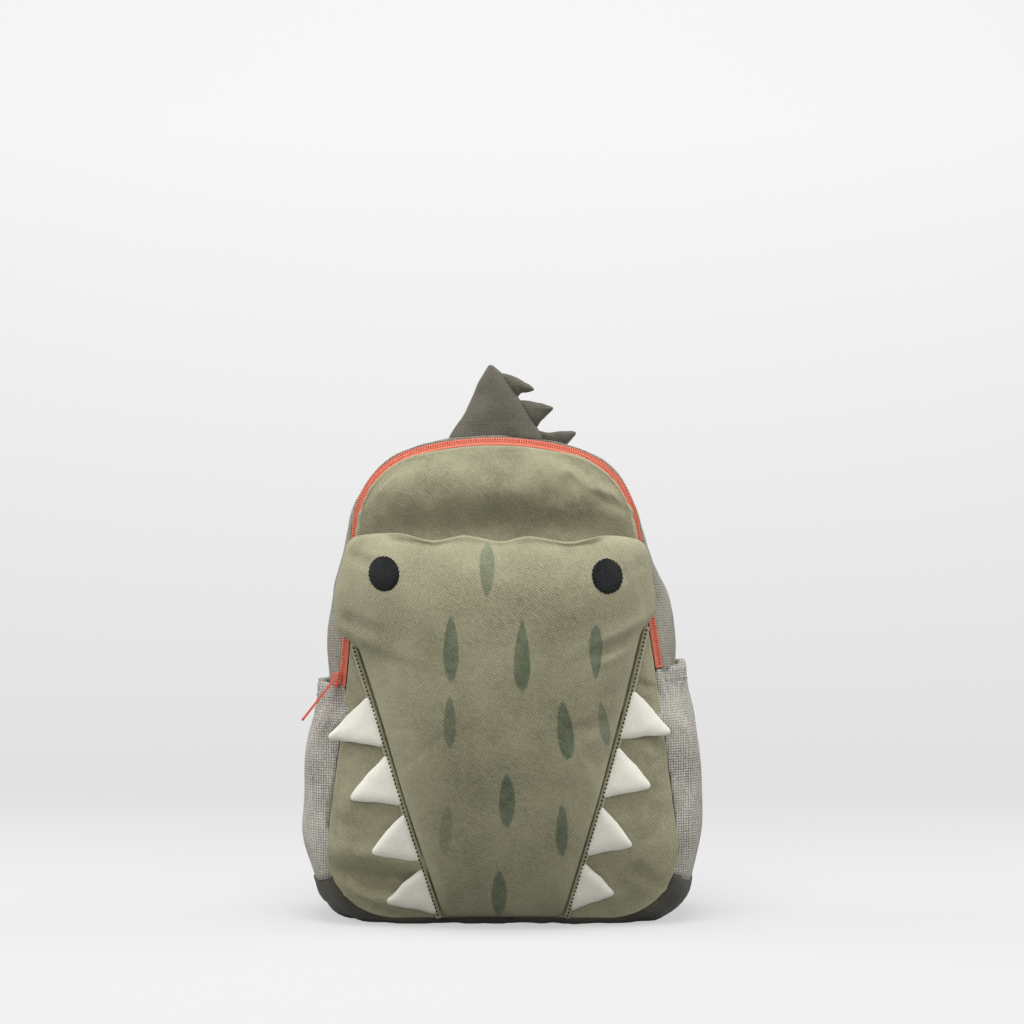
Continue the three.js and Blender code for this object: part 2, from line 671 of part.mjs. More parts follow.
function slider() {
  const plate = new THREE.Shape();
  const [half, tip] = [SLIDER.wide / 2, SLIDER.wide / 3];
  plate.moveTo(-half, SLIDER.long / 2 - 2);
  plate.quadraticCurveTo(-half, SLIDER.long / 2, 0, SLIDER.long / 2);
  plate.quadraticCurveTo(half, SLIDER.long / 2, half, SLIDER.long / 2 - 2);
  plate.lineTo(tip, -SLIDER.long / 2);
  plate.lineTo(-tip, -SLIDER.long / 2);
  plate.closePath();
  const body = new THREE.ExtrudeGeometry(plate, { depth: SLIDER.thick, bevelEnabled: false, curveSegments: 5 });
  turned(body, new THREE.Vector3(0, -1, 0), new THREE.Vector3(0, 0, 1));
  const arch = new THREE.Shape();
  const [foot, top] = [SLIDER.long * 0.4, SLIDER.thick + SLIDER.rise];
  const hollow = foot - SLIDER.bar;
  arch.moveTo(foot, SLIDER.thick / 2);
  arch.lineTo(foot, top - 1);
  arch.quadraticCurveTo(foot, top, foot - 1, top);
  arch.lineTo(1 - foot, top);
  arch.quadraticCurveTo(-foot, top, -foot, top - 1);
  arch.lineTo(-foot, SLIDER.thick / 2);
  arch.lineTo(-hollow, SLIDER.thick / 2);
  arch.lineTo(-hollow, top - SLIDER.bar);
  arch.lineTo(hollow, top - SLIDER.bar);
  arch.lineTo(hollow, SLIDER.thick / 2);
  arch.closePath();
  const bridge = new THREE.ExtrudeGeometry(arch, { depth: SLIDER.bridge, bevelEnabled: false, curveSegments: 3 });
  bridge.translate(0, 0, -SLIDER.bridge / 2);
  turned(bridge, new THREE.Vector3(0, 0, 1), new THREE.Vector3(-1, 0, 0));
  return fromSolid(toSolid(body).add(toSolid(bridge)));
}

// Pull: a pin under the bridge, two ears and a flat tab, drawn hanging down from the pin's axis along Y
function pull() {
  const pin = new THREE.CylinderGeometry(PULL.pin, PULL.pin, PULL.wide - 1, 8);
  const gap = SLIDER.bridge / 2 + PULL_CLEARANCE;
  const earWide = PULL.wide / 2 - gap;
  const ears = [-1, 1].map((side) =>
    block(PULL.thick, earWide, PULL.eye + 2 * PULL.pin, 0, side * (gap + earWide / 2), -PULL.eye / 2),
  );
  const tab = new THREE.Shape();
  const [half, top, low] = [PULL.wide / 2, -PULL.eye, -PULL.long];
  tab.moveTo(-half, top);
  tab.lineTo(-half * 0.8, low + half);
  tab.absarc(0, low + half, half * 0.8, Math.PI, 2 * Math.PI, false);
  tab.lineTo(half, top);
  tab.closePath();
  const plate = new THREE.ExtrudeGeometry(tab, { depth: PULL.thick, bevelEnabled: false, curveSegments: 6 });
  plate.translate(0, 0, -PULL.thick / 2);
  turned(plate, new THREE.Vector3(0, 1, 0), new THREE.Vector3(0, 0, 1));
  const solid = [...ears, plate].reduce((sum, piece) => sum.add(toSolid(piece)), toSolid(pin));
  return fromSolid(solid);
}

// Snout
const snoutPath = roundedPath(
  SNOUT_CORNERS.map(({ across, up, round }) => ({
    x: across * SNOUT_HALF_WIDTH,
    z: up * SNOUT_TOP,
    round: round * SNOUT_ROUND,
  })),
);
const snoutMiddle = new THREE.Vector2(0, SNOUT_TOP * 0.62);
const snoutShare = shareWithin(snoutPath, snoutMiddle);

function snoutHeight(x, z, share, inset) {
  const stand = SNOUT_STAND * readTable(SNOUT_STANDS, "up", "stand", z / SNOUT_TOP);
  const round = Math.max(0, 1 - Math.min(share, 1) ** 3) ** 0.5;
  const dent = dentDepth(SNOUT_DENTS, x, z) * (1 - Math.min(share, 1) ** 6);
  return Math.max(0, stand * round - dent - inset);
}

const snoutY = (x, z) => panelY(x, z) - REST_GAP - PANEL_RIM - snoutHeight(x, z, snoutShare(x, z), 0);

// The rim with the gathers of its top edge
function snoutRim(inset) {
  return rimOf(snoutPath, 48).map((p) => {
    const toMiddle = snoutMiddle.clone().sub(p);
    const near = smoothstep(p.y, SNOUT_TOP * 0.9, SNOUT_TOP);
    const wave = SNOUT_WAVE * near * readTable(TOP_GATHERS, "across", "rise", p.x / SNOUT_HALF_WIDTH);
    return p.addScaledVector(toMiddle.normalize(), inset).add(new THREE.Vector2(0, wave));
  });
}

function snout() {
  const shell = cushion({
    rim: snoutRim(0),
    backRim: snoutRim(SNOUT_WALL),
    middle: snoutMiddle,
    shares: domeShares(SNOUT_RINGS),
    front: (x, z, share) => panelY(x, z) - REST_GAP - PANEL_RIM - snoutHeight(x, z, share, 0),
    back: (x, z, share) => panelY(x, z) - REST_GAP - snoutHeight(x, z, share, SNOUT_WALL - PANEL_RIM),
  });
  const half = MOUTH_WIDTH / 2;
  const [low, high] = [SNOUT_TOP - 3 * SNOUT_WALL, SNOUT_TOP + 4 * SNOUT_WAVE];
  const slot = [
    new THREE.Vector2(-half, low),
    new THREE.Vector2(half, low),
    new THREE.Vector2(half, high),
    new THREE.Vector2(-half, high),
  ];
  const mouth = cushion({
    rim: slot.flatMap((p, i) => [0, 0.25, 0.5, 0.75].map((t) => p.clone().lerp(slot[(i + 1) % 4], t))),
    middle: new THREE.Vector2(0, (low + high) / 2),
    shares: domeShares(3),
    front: (x, z) => panelY(x, z) - MOUTH_SLOT,
    back: (x, z) => panelY(x, z) + PANEL_RIM,
  });
  return fromSolid(toSolid(shell).subtract(toSolid(mouth)));
}

// The seam that holds the teeth on one side, from its top to its bottom
function jawSeam(side) {
  const cornerAt = (name) => {
    const { across, up } = SNOUT_CORNERS.find(({ seam }) => seam === name);
    return new THREE.Vector2(across * SNOUT_HALF_WIDTH, up * SNOUT_TOP);
  };
  const [top, bottom] = [cornerAt(`${side} top`), cornerAt(`${side} low`)];
  const down = bottom.clone().sub(top).normalize();
  const out = side === "left" ? new THREE.Vector2(down.y, -down.x) : new THREE.Vector2(-down.y, down.x);
  return { top, bottom, out, at: (share, off) => top.clone().lerp(bottom, share).addScaledVector(out, off) };
}

function seamBand(side) {
  const seam = jawSeam(side);
  const steps = 16;
  const skin = (thick) =>
    Array.from({ length: steps + 1 }, (_, i) =>
      [SEAM_GAP, SEAM_GAP + BAND_WIDE].map((off) => {
        const p = seam.at(lerp(BAND_START, 1, i / steps), off);
        return new THREE.Vector3(p.x, panelY(p.x, p.y) - REST_GAP - thick, p.y);
      }),
    );
  return wall(skin(BAND_THICK), skin(0));
}

function tooth(side, { from, to, reach, drop }) {
  const seam = jawSeam(side);
  const off = BAND_WIDE + 2 * SEAM_GAP;
  const [top, low] = [seam.at(from, off), seam.at(to, off)];
  const outward = side === "left" ? -1 : 1;
  const base = top.clone().lerp(low, drop);
  const sharp = reach * TOOTH_REACH - off + TIP_ROUND;
  const tip = new THREE.Vector2(base.x + outward * sharp, lerp(top.y, low.y, drop));
  const corners = [
    { x: top.x, z: top.y, round: 1 },
    { x: low.x, z: low.y, round: 1 },
    { x: tip.x, z: tip.y, round: TIP_ROUND },
  ];
  const path = roundedPath(side === "left" ? [...corners].reverse() : corners);
  const centre = top.clone().add(low).add(tip).divideScalar(3);
  const lift = (x) => TOOTH_LIFT * clamp((outward * (x - base.x)) / TOOTH_REACH, 0, 1) ** 2;
  return cushion({
    rim: rimOf(path, ROUND_SIDES, tipShare(path, centre)),
    middle: centre,
    shares: domeShares(3),
    front: (x, z, share) => {
      const round = Math.sqrt(1 - share ** 2);
      return panelY(x, z) - REST_GAP - lift(x) - lerp(TOOTH_RIM, TOOTH_THICK, round);
    },
    back: (x, z) => panelY(x, z) - REST_GAP - lift(x),
  });
}

function eye({ across, rise }) {
  const middle = new THREE.Vector2(across * SNOUT_HALF_WIDTH, EYE_HEIGHT + rise);
  const rim = new THREE.Path().absellipse(middle.x, middle.y, EYE_WIDE / 2, EYE_TALL / 2, 0, 2 * Math.PI, false, 0);
  return cushion({
    rim: rimOf(rim, 18),
    middle,
    shares: domeShares(2),
    front: (x, z, share) => snoutY(x, z) - REST_GAP - lerp(EYE_THICK, EYE_THICK / 2, share ** 4),
    back: (x, z) => snoutY(x, z) - REST_GAP,
  });
}

// A side pocket: a gathered wall outside the band, open at its hem
function pocket(side) {
  const top = POCKET_TOP[side];
  const [low, high] = [seamShareAt(BASE_WRAP + SEAM_GAP), seamShareAt(top)];
  const skin = (inset) =>
    Array.from({ length: POCKET_ROWS + 1 }, (_, row) => {
      const share = lerp(low, high, row / POCKET_ROWS);
      const station = stationAt(side === "right" ? share : 1 - share);
      const up = (station.z - BASE_WRAP) / (top - BASE_WRAP);
      const hem = smoothstep(station.z, top - 2 * HEM_TALL, top - HEM_TALL);
      return Array.from({ length: POCKET_COLUMNS + 1 }, (_, column) => {
        const across = column / POCKET_COLUMNS;
        const { out, y } = bandPlace(station, across);
        const stand = POCKET_STAND * readTable(POCKET_STANDS, "up", "stand", up) * fullness(across, 0.35);
        const gather = GATHER_DEEP * up * up * (1 - Math.cos(across * GATHERS * 2 * Math.PI)) * 0.5;
        const thick = POCKET_WALL + HEM_EXTRA * hem;
        return outside(station, out + REST_GAP + stand + (inset ? 0 : thick + gather), y, 0);
      });
    });
  return wall(skin(false), skin(true));
}

// Height of the band's outer skin above a point near the crown
function crestZ(x, y) {
  const skinAt = (share) => {
    const station = stationAt(share);
    const front = bandPlace(station, 0).y;
    const across = clamp((y - front) / (backSeamY - SEAM_GAP - front), 0, 1);
    return outside(station, bandPlace(station, across).out, y, 0);
  };
  let [low, high] = [0.3, 0.7];
  for (let i = 0; i < 30; i += 1) {
    const middle = (low + high) / 2;
    if (skinAt(middle).x > x) low = middle;
    else high = middle;
  }
  return skinAt((low + high) / 2).z;
}

const tailPlace = backSeamY - TAIL_FROM_BACK;
const tailFoot = SEAM_TOP + SIDE_BULGE * 0.2;
const tailEdge = (up, column) => TAIL_HALF_WIDTH * readTable(TAIL_SECTIONS, "up", column, up);

function tail() {
  const ring = (up, share, height) => {
    const [left, right] = [tailEdge(up, "left"), tailEdge(up, "right")];
    const thick = TAIL_HALF_THICK * readTable(TAIL_SECTIONS, "up", "thick", up);
    return Array.from({ length: ROUND_SIDES }, (_, i) => {
      const angle = (i / ROUND_SIDES) * 2 * Math.PI;
      const x = (left + right) / 2 + share * ((right - left) / 2) * Math.cos(angle);
      const y = tailPlace + share * thick * Math.sin(angle);
      return new THREE.Vector3(x, y, height(x, y));
    });
  };
  const onCrest = (x, y) => crestZ(x, y) + REST_GAP;
  const foot = [0.1, 0.4, 0.7, 1].map((share) => ring(0, share, onCrest));
  const rows = 8;
  const body = Array.from({ length: rows }, (_, i) => {
    const up = (i + 1) / rows;
    return ring(up, 1, (x, y) => Math.max(tailFoot + TAIL_TALL * up, onCrest(x, y) + i + 1));
  });
  return loft([...foot, ...body]);
}

function spike({ from, to, foot, tipAcross, tipUp }) {
  const onCrest = (x) => crestZ(x, tailPlace) + 2 * REST_GAP;
  const root = (up) => {
    const x = tailEdge(up, "right") + REST_GAP;
    return { x, z: Math.max(tailFoot + TAIL_TALL * up, onCrest(x)), round: 0.5 };
  };
  const footX = foot * TAIL_HALF_WIDTH;
  const low = foot ? [root(to), { x: footX, z: onCrest(footX), round: 0.5 }] : [root(to)];
  const halfway = { ...root((from + to) / 2), round: 0 };
  const tip = { x: tipAcross * TAIL_HALF_WIDTH, z: tailFoot + tipUp * TAIL_TALL, round: 1.4 };
  const path = roundedPath([...low, tip, root(from), halfway]);
  const rim = rimOf(path, ROUND_SIDES, tipShare(path, new THREE.Vector2(halfway.x, halfway.z)));
  const middle = rim.reduce((sum, p) => sum.add(p), new THREE.Vector2()).divideScalar(rim.length);
  const half = (share) => lerp(0.7, SPIKE_THICK / 2, Math.sqrt(1 - share ** 2));
  return cushion({
    rim,
    middle,
    shares: domeShares(3),
    front: (x, z, share) => tailPlace - half(share),
    back: (x, z, share) => tailPlace + half(share),
  });
}

// Back straps. Sideways is -1 for the left of the face and 1 for the right
const strapTop = SEAM_TOP - STRAP_DROP;
const strapStart = backFaceY + SEAM_GAP;
const strapOutY = backFaceY + STRAP_STAND + STRAP_THICK / 2;

function strapCurve(sideways) {
  const place = (share, y, z) => new THREE.Vector3(sideways * lerp(STRAP_TOP_X, STRAP_LOW_X, share), y, z);
  const fall = strapTop - STRAP_LOW;
  return new THREE.CatmullRomCurve3([
    place(0, strapStart, strapTop),
    place(0, strapStart + STRAP_STAND * 0.45, strapTop),
    place(0.12, strapOutY - STRAP_STAND * 0.16, strapTop - fall * 0.14),
    place(0.35, strapOutY, strapTop - fall * 0.4),
    place(0.7, strapOutY - STRAP_STAND * 0.1, strapTop - fall * 0.72),
    place(1, strapOutY - STRAP_STAND * 0.34, STRAP_LOW),
  ]);
}

function shoulderStrap(sideways) {
  return strip(strapCurve(sideways), STRAP_STEPS, stripSection(STRAP_WIDE, STRAP_THICK, 0.25), new THREE.Vector3(1, 0, 0));
}

function webbingCurve(sideways) {
  const end = strapCurve(sideways).getPointAt(1);
  const along = strapCurve(sideways).getTangentAt(1);
  const start = end.clone().addScaledVector(along, SEAM_GAP);
  const foot = new THREE.Vector3(sideways * ANCHOR.x, 0, ANCHOR.z + ANCHOR.tall / 2 + SEAM_GAP);
  foot.y = backFaceY + 2 * SEAM_GAP + WEBBING_THICK / 2;
  const aboveFoot = foot.clone().add(new THREE.Vector3(0, 0, 16));
  const straight = [12, 24].map((length) => start.clone().addScaledVector(along, length));
  return new THREE.CatmullRomCurve3([start, ...straight, aboveFoot, foot]);
}

function webbing(sideways) {
  return strip(webbingCurve(sideways), WEBBING_STEPS, stripSection(WEBBING_WIDE, WEBBING_THICK), new THREE.Vector3(1, 0, 0));
}

// A ladder buckle round the webbing
function buckle(sideways) {
  const curve = webbingCurve(sideways);
  const share = clamp((BUCKLE.tall * BUCKLE.up) / curve.getLength() + 0.02, 0, 0.5);
  const along = curve.getTangentAt(share);
  const normal = along.clone().cross(new THREE.Vector3(1, 0, 0)).normalize();
  const across = normal.clone().cross(along).normalize();
  const inner = { wide: WEBBING_WIDE + 2 * SEAM_GAP, thick: WEBBING_THICK + 2 * SEAM_GAP };
  const [w, t] = [inner.wide / 2 + BUCKLE.frame, inner.thick / 2 + BUCKLE.thick / 2];
  const outline = new THREE.Shape(stripSection(2 * w, 2 * t, 0.2).map(([x, y]) => new THREE.Vector2(x, y)));
  const hole = new THREE.Path();
  hole.moveTo(-inner.wide / 2, -inner.thick / 2);
  hole.lineTo(inner.wide / 2, -inner.thick / 2);
  hole.lineTo(inner.wide / 2, inner.thick / 2);
  hole.lineTo(-inner.wide / 2, inner.thick / 2);
  hole.closePath();
  outline.holes.push(hole);
  const geometry = new THREE.ExtrudeGeometry(outline, { depth: BUCKLE.tall, bevelEnabled: false });
  geometry.translate(0, 0, -BUCKLE.tall / 2);
  const turn = new THREE.Matrix4().makeBasis(across, normal, across.clone().cross(normal));
  return geometry.applyMatrix4(turn.setPosition(curve.getPointAt(share)));
}

// A stitched cloth corner that holds the webbing's foot
function anchor(sideways) {
  const shape = new THREE.Shape();
  const [half, tall] = [ANCHOR.wide / 2, ANCHOR.tall / 2];
  shape.moveTo(-half, -tall);
  shape.lineTo(half, -tall);
  shape.lineTo(WEBBING_WIDE / 2, tall);
  shape.lineTo(-WEBBING_WIDE / 2, tall);
  shape.closePath();
  const geometry = new THREE.ExtrudeGeometry(shape, { depth: ANCHOR.thick, bevelEnabled: false });
  geometry.rotateX(Math.PI / 2);
  return geometry.translate(sideways * ANCHOR.x, backFaceY + SEAM_GAP + ANCHOR.thick, ANCHOR.z);
}

function haulLoop() {
  const foot = backFaceY + SEAM_GAP;
  const height = SEAM_TOP - LOOP_DROP;
  const curve = new THREE.CatmullRomCurve3([
    new THREE.Vector3(-LOOP_HALF_WIDTH, foot, height),
    new THREE.Vector3(-LOOP_HALF_WIDTH, foot + LOOP_STAND * 0.5, height),
    new THREE.Vector3(0, foot + LOOP_STAND, height),
    new THREE.Vector3(LOOP_HALF_WIDTH, foot + LOOP_STAND * 0.5, height),
    new THREE.Vector3(LOOP_HALF_WIDTH, foot, height),
  ]);
  return strip(curve, WEBBING_STEPS, stripSection(LOOP_WIDE, LOOP_THICK), new THREE.Vector3(0, 0, 1));
}

const backpack = new THREE.Group();

// Adds a piece, with the shell's sag worked into its points
function add(name, geometry, material) {
  const place = geometry.getAttribute("position");
  for (let i = 0; i < place.count; i += 1) place.setX(i, place.getX(i) + leanAt(place.getZ(i)));
  geometry.computeVertexNormals();
  const mesh = new THREE.Mesh(geometry, material);
  mesh.name = name;
  backpack.add(mesh);
}

add("front_panel", frontPanel(), twill);
add("back_panel", backPanel(), greyCloth);
add("gusset", gusset(), greyCloth);
add("base_panel", basePanel(), darkCloth);
add("zip_tape", zipTape(), coralZip);
add("zip_coil", zipCoil(), coralZip);
add("snout", snout(), twill);
EYES.forEach((row) => add(row.name, eye(row), blackThread));
["left", "right"].forEach((side) => {
  const sideways = side === "left" ? -1 : 1;
  add(`seam_band_${side}`, seamBand(side), oliveThread);
  TEETH[side].forEach((row, i) => add(`tooth_${side}_${i + 1}`, tooth(side, row), cream));
  add(`pocket_${side}`, pocket(side), checkCloth);
  add(`strap_${side}`, shoulderStrap(sideways), darkCloth);
  add(`webbing_${side}`, webbing(sideways), webbingCloth);
  add(`buckle_${side}`, buckle(sideways), darkPlastic);
  add(`anchor_${side}`, anchor(sideways), darkCloth);
});
add("tail_body", tail(), tailCloth);
SPIKES.forEach((row) => add(row.name, spike(row), tailCloth));
add("haul_loop", haulLoop(), webbingCloth);

// The slider sits over the coil on the left, and the pull hangs from it, leaning on the pocket
const zipper = new THREE.Group();
const sliderStation = stationAt(1 - seamShareAt(SLIDER_HEIGHT));
zipper.position.copy(zipPlace(sliderStation, 0.5, coilLift + COIL_RADIUS + ZIP_GAP));
zipper.position.x += leanAt(SLIDER_HEIGHT);
zipper.rotation.y = Math.atan2(sliderStation.outZ, -sliderStation.outX);
const sliderMesh = new THREE.Mesh(slider(), coralMetal);
sliderMesh.name = "zip_slider";
zipper.add(sliderMesh);
const pullGroup = new THREE.Group();
pullGroup.position.x = -hingeOut;
pullGroup.rotation.y = degToRad(PULL.lean) - zipper.rotation.y;
const pullMesh = new THREE.Mesh(pull(), coralMetal);
pullMesh.name = "zip_pull";
pullGroup.add(pullMesh);
zipper.add(pullGroup);
backpack.add(zipper);

export default backpack;
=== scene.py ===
# %% [markdown]
# # A small child's crocodile backpack
#
# The real bag is a little padded backpack about 30 cm tall. Its face is a crocodile: a stuffed snout that
# is also a front pocket, cream teeth sewn into the seams beside it, stitched eyes and a spiked tail on top.
# This lesson dresses the fixed CAD model of the bag: soft pieces are modelled again with folds, and hard
# ones keep their CAD shape. Every size below is in millimetres, and MM turns it into Blender's metres.

# %% The fixed frame
import bisect
import math

import bpy
from mathutils import Matrix, Vector, noise
from mathutils.bvhtree import BVHTree


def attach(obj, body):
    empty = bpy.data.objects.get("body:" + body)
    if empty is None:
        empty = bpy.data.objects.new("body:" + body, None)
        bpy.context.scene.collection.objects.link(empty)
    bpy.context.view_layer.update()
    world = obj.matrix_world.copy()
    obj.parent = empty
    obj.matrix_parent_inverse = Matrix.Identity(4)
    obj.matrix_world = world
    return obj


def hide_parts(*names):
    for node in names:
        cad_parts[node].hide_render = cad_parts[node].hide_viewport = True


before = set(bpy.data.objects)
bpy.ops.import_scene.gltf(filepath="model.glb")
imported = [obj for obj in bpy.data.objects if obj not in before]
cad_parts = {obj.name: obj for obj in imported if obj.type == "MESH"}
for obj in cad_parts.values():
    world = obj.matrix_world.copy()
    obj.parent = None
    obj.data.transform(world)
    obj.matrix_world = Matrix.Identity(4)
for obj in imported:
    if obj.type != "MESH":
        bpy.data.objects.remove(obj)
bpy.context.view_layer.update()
MM = 0.001
scene = bpy.context.scene

# %% [markdown]
# ## The camera
#
# The photograph was taken level, from in front of the bag and a little above its middle, from far enough
# away that the sides hardly taper. A level camera is turned a quarter turn from looking down. Its focal
# length on a 36 mm sensor gives the bag the size in the picture that it has in the photograph.

# %% Camera
CAMERA_PLACE = (5.9, -1800, 256)
LENS = 99.53
SENSOR = 36
bpy.ops.object.camera_add(location=Vector(CAMERA_PLACE) * MM, rotation=(math.pi / 2, 0, 0))
camera = bpy.context.object
camera.data.lens = LENS
camera.data.sensor_width = SENSOR
camera.data.clip_end = 20
scene.camera = camera
print("picture is", round(-CAMERA_PLACE[1] * SENSOR / LENS), "mm wide at the middle of the bag")

# %% [markdown]
# ## The studio
#
# The bag stands on a white sweep: a floor that curves up into a back wall, so no horizon shows. White
# paper this close to a bag would throw so much light back that its folds disappear. So the paper is grey to
# the lights, and it glows only where the camera sees it, which keeps it near white with soft shadows.

# %% Helpers for objects
def plain_material(name, colour, roughness, metallic=0.0):
    """A Principled material of one colour, to which patterns are then linked."""
    material = bpy.data.materials.new(name)
    material.use_nodes = True
    shader = material.node_tree.nodes["Principled BSDF"]
    shader.inputs["Base Color"].default_value = (*colour, 1)
    shader.inputs["Roughness"].default_value = roughness
    shader.inputs["Metallic"].default_value = metallic
    return material


def alone(piece):
    """Selects one piece only, and makes it the active one."""
    bpy.ops.object.select_all(action="DESELECT")
    piece.hide_set(False)
    piece.select_set(True)
    bpy.context.view_layer.objects.active = piece


# %% Sweep
SWEEP_FRONT = -2600
SWEEP_BACK = 1500
SWEEP_ROUND = 700
SWEEP_TALL = 2600
SWEEP_HALF_WIDTH = 3000
PAPER_SHADE = 0.26
FLOOR_GLOW = 0.51
WALL_GLOW = 0.715
bpy.ops.object.select_all(action="DESELECT")
bpy.ops.mesh.primitive_grid_add(x_subdivisions=2, y_subdivisions=60, size=2)
sweep = bpy.context.object
sweep.name = "studio_sweep"
sweep_length = SWEEP_BACK - SWEEP_FRONT + SWEEP_TALL
for vertex in sweep.data.vertices:
    run = SWEEP_FRONT + (vertex.co.y + 1) / 2 * sweep_length
    bend = min(max((run - SWEEP_BACK + SWEEP_ROUND) / (SWEEP_ROUND * math.pi / 2), 0), 1) * math.pi / 2
    rise = max(0, run - SWEEP_BACK + SWEEP_ROUND - SWEEP_ROUND * math.pi / 2)
    y = min(run, SWEEP_BACK - SWEEP_ROUND) + SWEEP_ROUND * math.sin(bend)
    z = SWEEP_ROUND * (1 - math.cos(bend)) + rise
    vertex.co = Vector((vertex.co.x * SWEEP_HALF_WIDTH, y, z)) * MM
alone(sweep)
bpy.ops.object.shade_smooth()
white_paper = plain_material("white_paper", (PAPER_SHADE,) * 3, 0.95)
paper_tree = white_paper.node_tree
paper_shader = paper_tree.nodes["Principled BSDF"]
paper_shader.inputs["Specular IOR Level"].default_value = 0
seen = paper_tree.nodes.new("ShaderNodeLightPath")
glow = paper_tree.nodes.new("ShaderNodeMix")
glow.data_type = "RGBA"
glow.inputs[6].default_value = (0, 0, 0, 1)
paper_place = paper_tree.nodes.new("ShaderNodeTexCoord")
paper_parts = paper_tree.nodes.new("ShaderNodeSeparateXYZ")
paper_tree.links.new(paper_place.outputs["Object"], paper_parts.inputs[0])
paper_rise = paper_tree.nodes.new("ShaderNodeMapRange")
paper_rise.inputs["From Max"].default_value = SWEEP_ROUND * MM
paper_rise.inputs["To Min"].default_value = FLOOR_GLOW
paper_rise.inputs["To Max"].default_value = WALL_GLOW
paper_tree.links.new(paper_parts.outputs["Z"], paper_rise.inputs["Value"])
paper_tree.links.new(paper_rise.outputs[0], glow.inputs[7])
paper_tree.links.new(seen.outputs["Is Camera Ray"], glow.inputs[0])
paper_tree.links.new(glow.outputs[2], paper_shader.inputs["Emission Color"])
paper_shader.inputs["Emission Strength"].default_value = 1
sweep.data.materials.append(white_paper)
print("sweep runs", sweep_length, "mm")

# %% [markdown]
# ## The lights
#
# A pale world fills the shadows. One wide soft light hangs above the bag and a little before it, which
# makes the tops of the padded forms bright and their undersides dark. A weak one in front keeps the lower
# half from going dull, and two beside the bag, a little behind it, give the sides their pale outlines.

# %% Lights
WORLD_LIGHT = 0.33
LIGHTS = [
    {"name": "top", "place": (-60, -380, 1450), "aim": (0, 0, 150), "size": 900, "watts": 19.5},
    {"name": "front", "place": (0, -1600, 220), "aim": (0, 0, 100), "size": 1300, "watts": 10.5},
    {"name": "left", "place": (-1300, 150, 620), "aim": (0, 0, 150), "size": 800, "watts": 9},
    {"name": "right", "place": (1300, 150, 620), "aim": (0, 0, 150), "size": 800, "watts": 9},
]
world = bpy.data.worlds.new("pale_world")
scene.world = world
world.use_nodes = True
world.node_tree.nodes["Background"].inputs["Color"].default_value = (1, 1, 1, 1)
world.node_tree.nodes["Background"].inputs["Strength"].default_value = WORLD_LIGHT
scene.view_settings.view_transform = "Standard"
for row in LIGHTS:
    aim = Vector(row["aim"]) - Vector(row["place"])
    turn = aim.to_track_quat("-Z", "Y").to_euler()
    bpy.ops.object.light_add(type="AREA", location=Vector(row["place"]) * MM, rotation=turn)
    lamp = bpy.context.object
    lamp.name = "light_" + row["name"]
    lamp.data.size = row["size"] * MM
    lamp.data.energy = row["watts"]
    print(lamp.name, row["watts"], "watts")

# %% [markdown]
# ## Patterns that the cloths share
#
# Every cloth on the bag is woven, faded and a little creased. Each of these effects is a node group, made
# once: a rib or a weave gives a height for the bump and a shade for the colour, and the mottling gives the
# uneven fading. Their sizes are in millimetres, so a group first turns metres into millimetres.

# %% Node helpers
def group_of(name, inputs, outputs):
    """A node group with named sockets. inputs holds name, kind and default, outputs name and kind."""
    tree = bpy.data.node_groups.new(name, "ShaderNodeTree")
    for title, kind, default in inputs:
        socket = tree.interface.new_socket(name=title, in_out="INPUT", socket_type="NodeSocket" + kind)
        if default is not None:
            socket.default_value = default
    for title, kind in outputs:
        tree.interface.new_socket(name=title, in_out="OUTPUT", socket_type="NodeSocket" + kind)
    return tree, tree.nodes.new("NodeGroupInput"), tree.nodes.new("NodeGroupOutput")


def node_in(tree, kind, settings=None, **links):
    """A node whose named or numbered inputs are linked to sockets or set to values."""
    made = tree.nodes.new("ShaderNode" + kind)
    for key, value in (settings or {}).items():
        setattr(made, key, value)
    for key, value in links.items():
        place = int(key[1:]) if key[0] == "i" and key[1:].isdigit() else key.replace("_", " ")
        socket = made.inputs[place]
        if isinstance(value, bpy.types.NodeSocket):
            tree.links.new(value, socket)
        else:
            socket.default_value = value
    return made


def maths(tree, operation, a, b=0.0, c=0.0):
    return node_in(tree, "Math", {"operation": operation}, i0=a, i1=b, i2=c).outputs[0]


def vector_maths(tree, operation, a, b=(0, 0, 0)):
    return node_in(tree, "VectorMath", {"operation": operation}, i0=a, i1=b).outputs[0]


def scaled(tree, vector, size):
    made = node_in(tree, "VectorMath", {"operation": "SCALE"}, i0=vector)
    made.inputs["Scale"].default_value = size
    return made.outputs[0]


def mixed(tree, share, a, b, blend="MIX"):
    """A colour between two colours."""
    settings = {"data_type": "RGBA", "blend_type": blend, "clamp_factor": True}
    return node_in(tree, "Mix", settings, i0=share, i6=a, i7=b).outputs[2]


# %% [markdown]
# ## Twill, plain weave and fading
#
# Twill shows diagonal ribs, because each yarn passes under the others one step further along. A sine wave
# across the slope gives the ribs, and noise stretched along them breaks them up as uneven cotton yarn does.
# A plain weave is one wave each way, and a check adds darker lines at its crossings. Fading is broad noise.

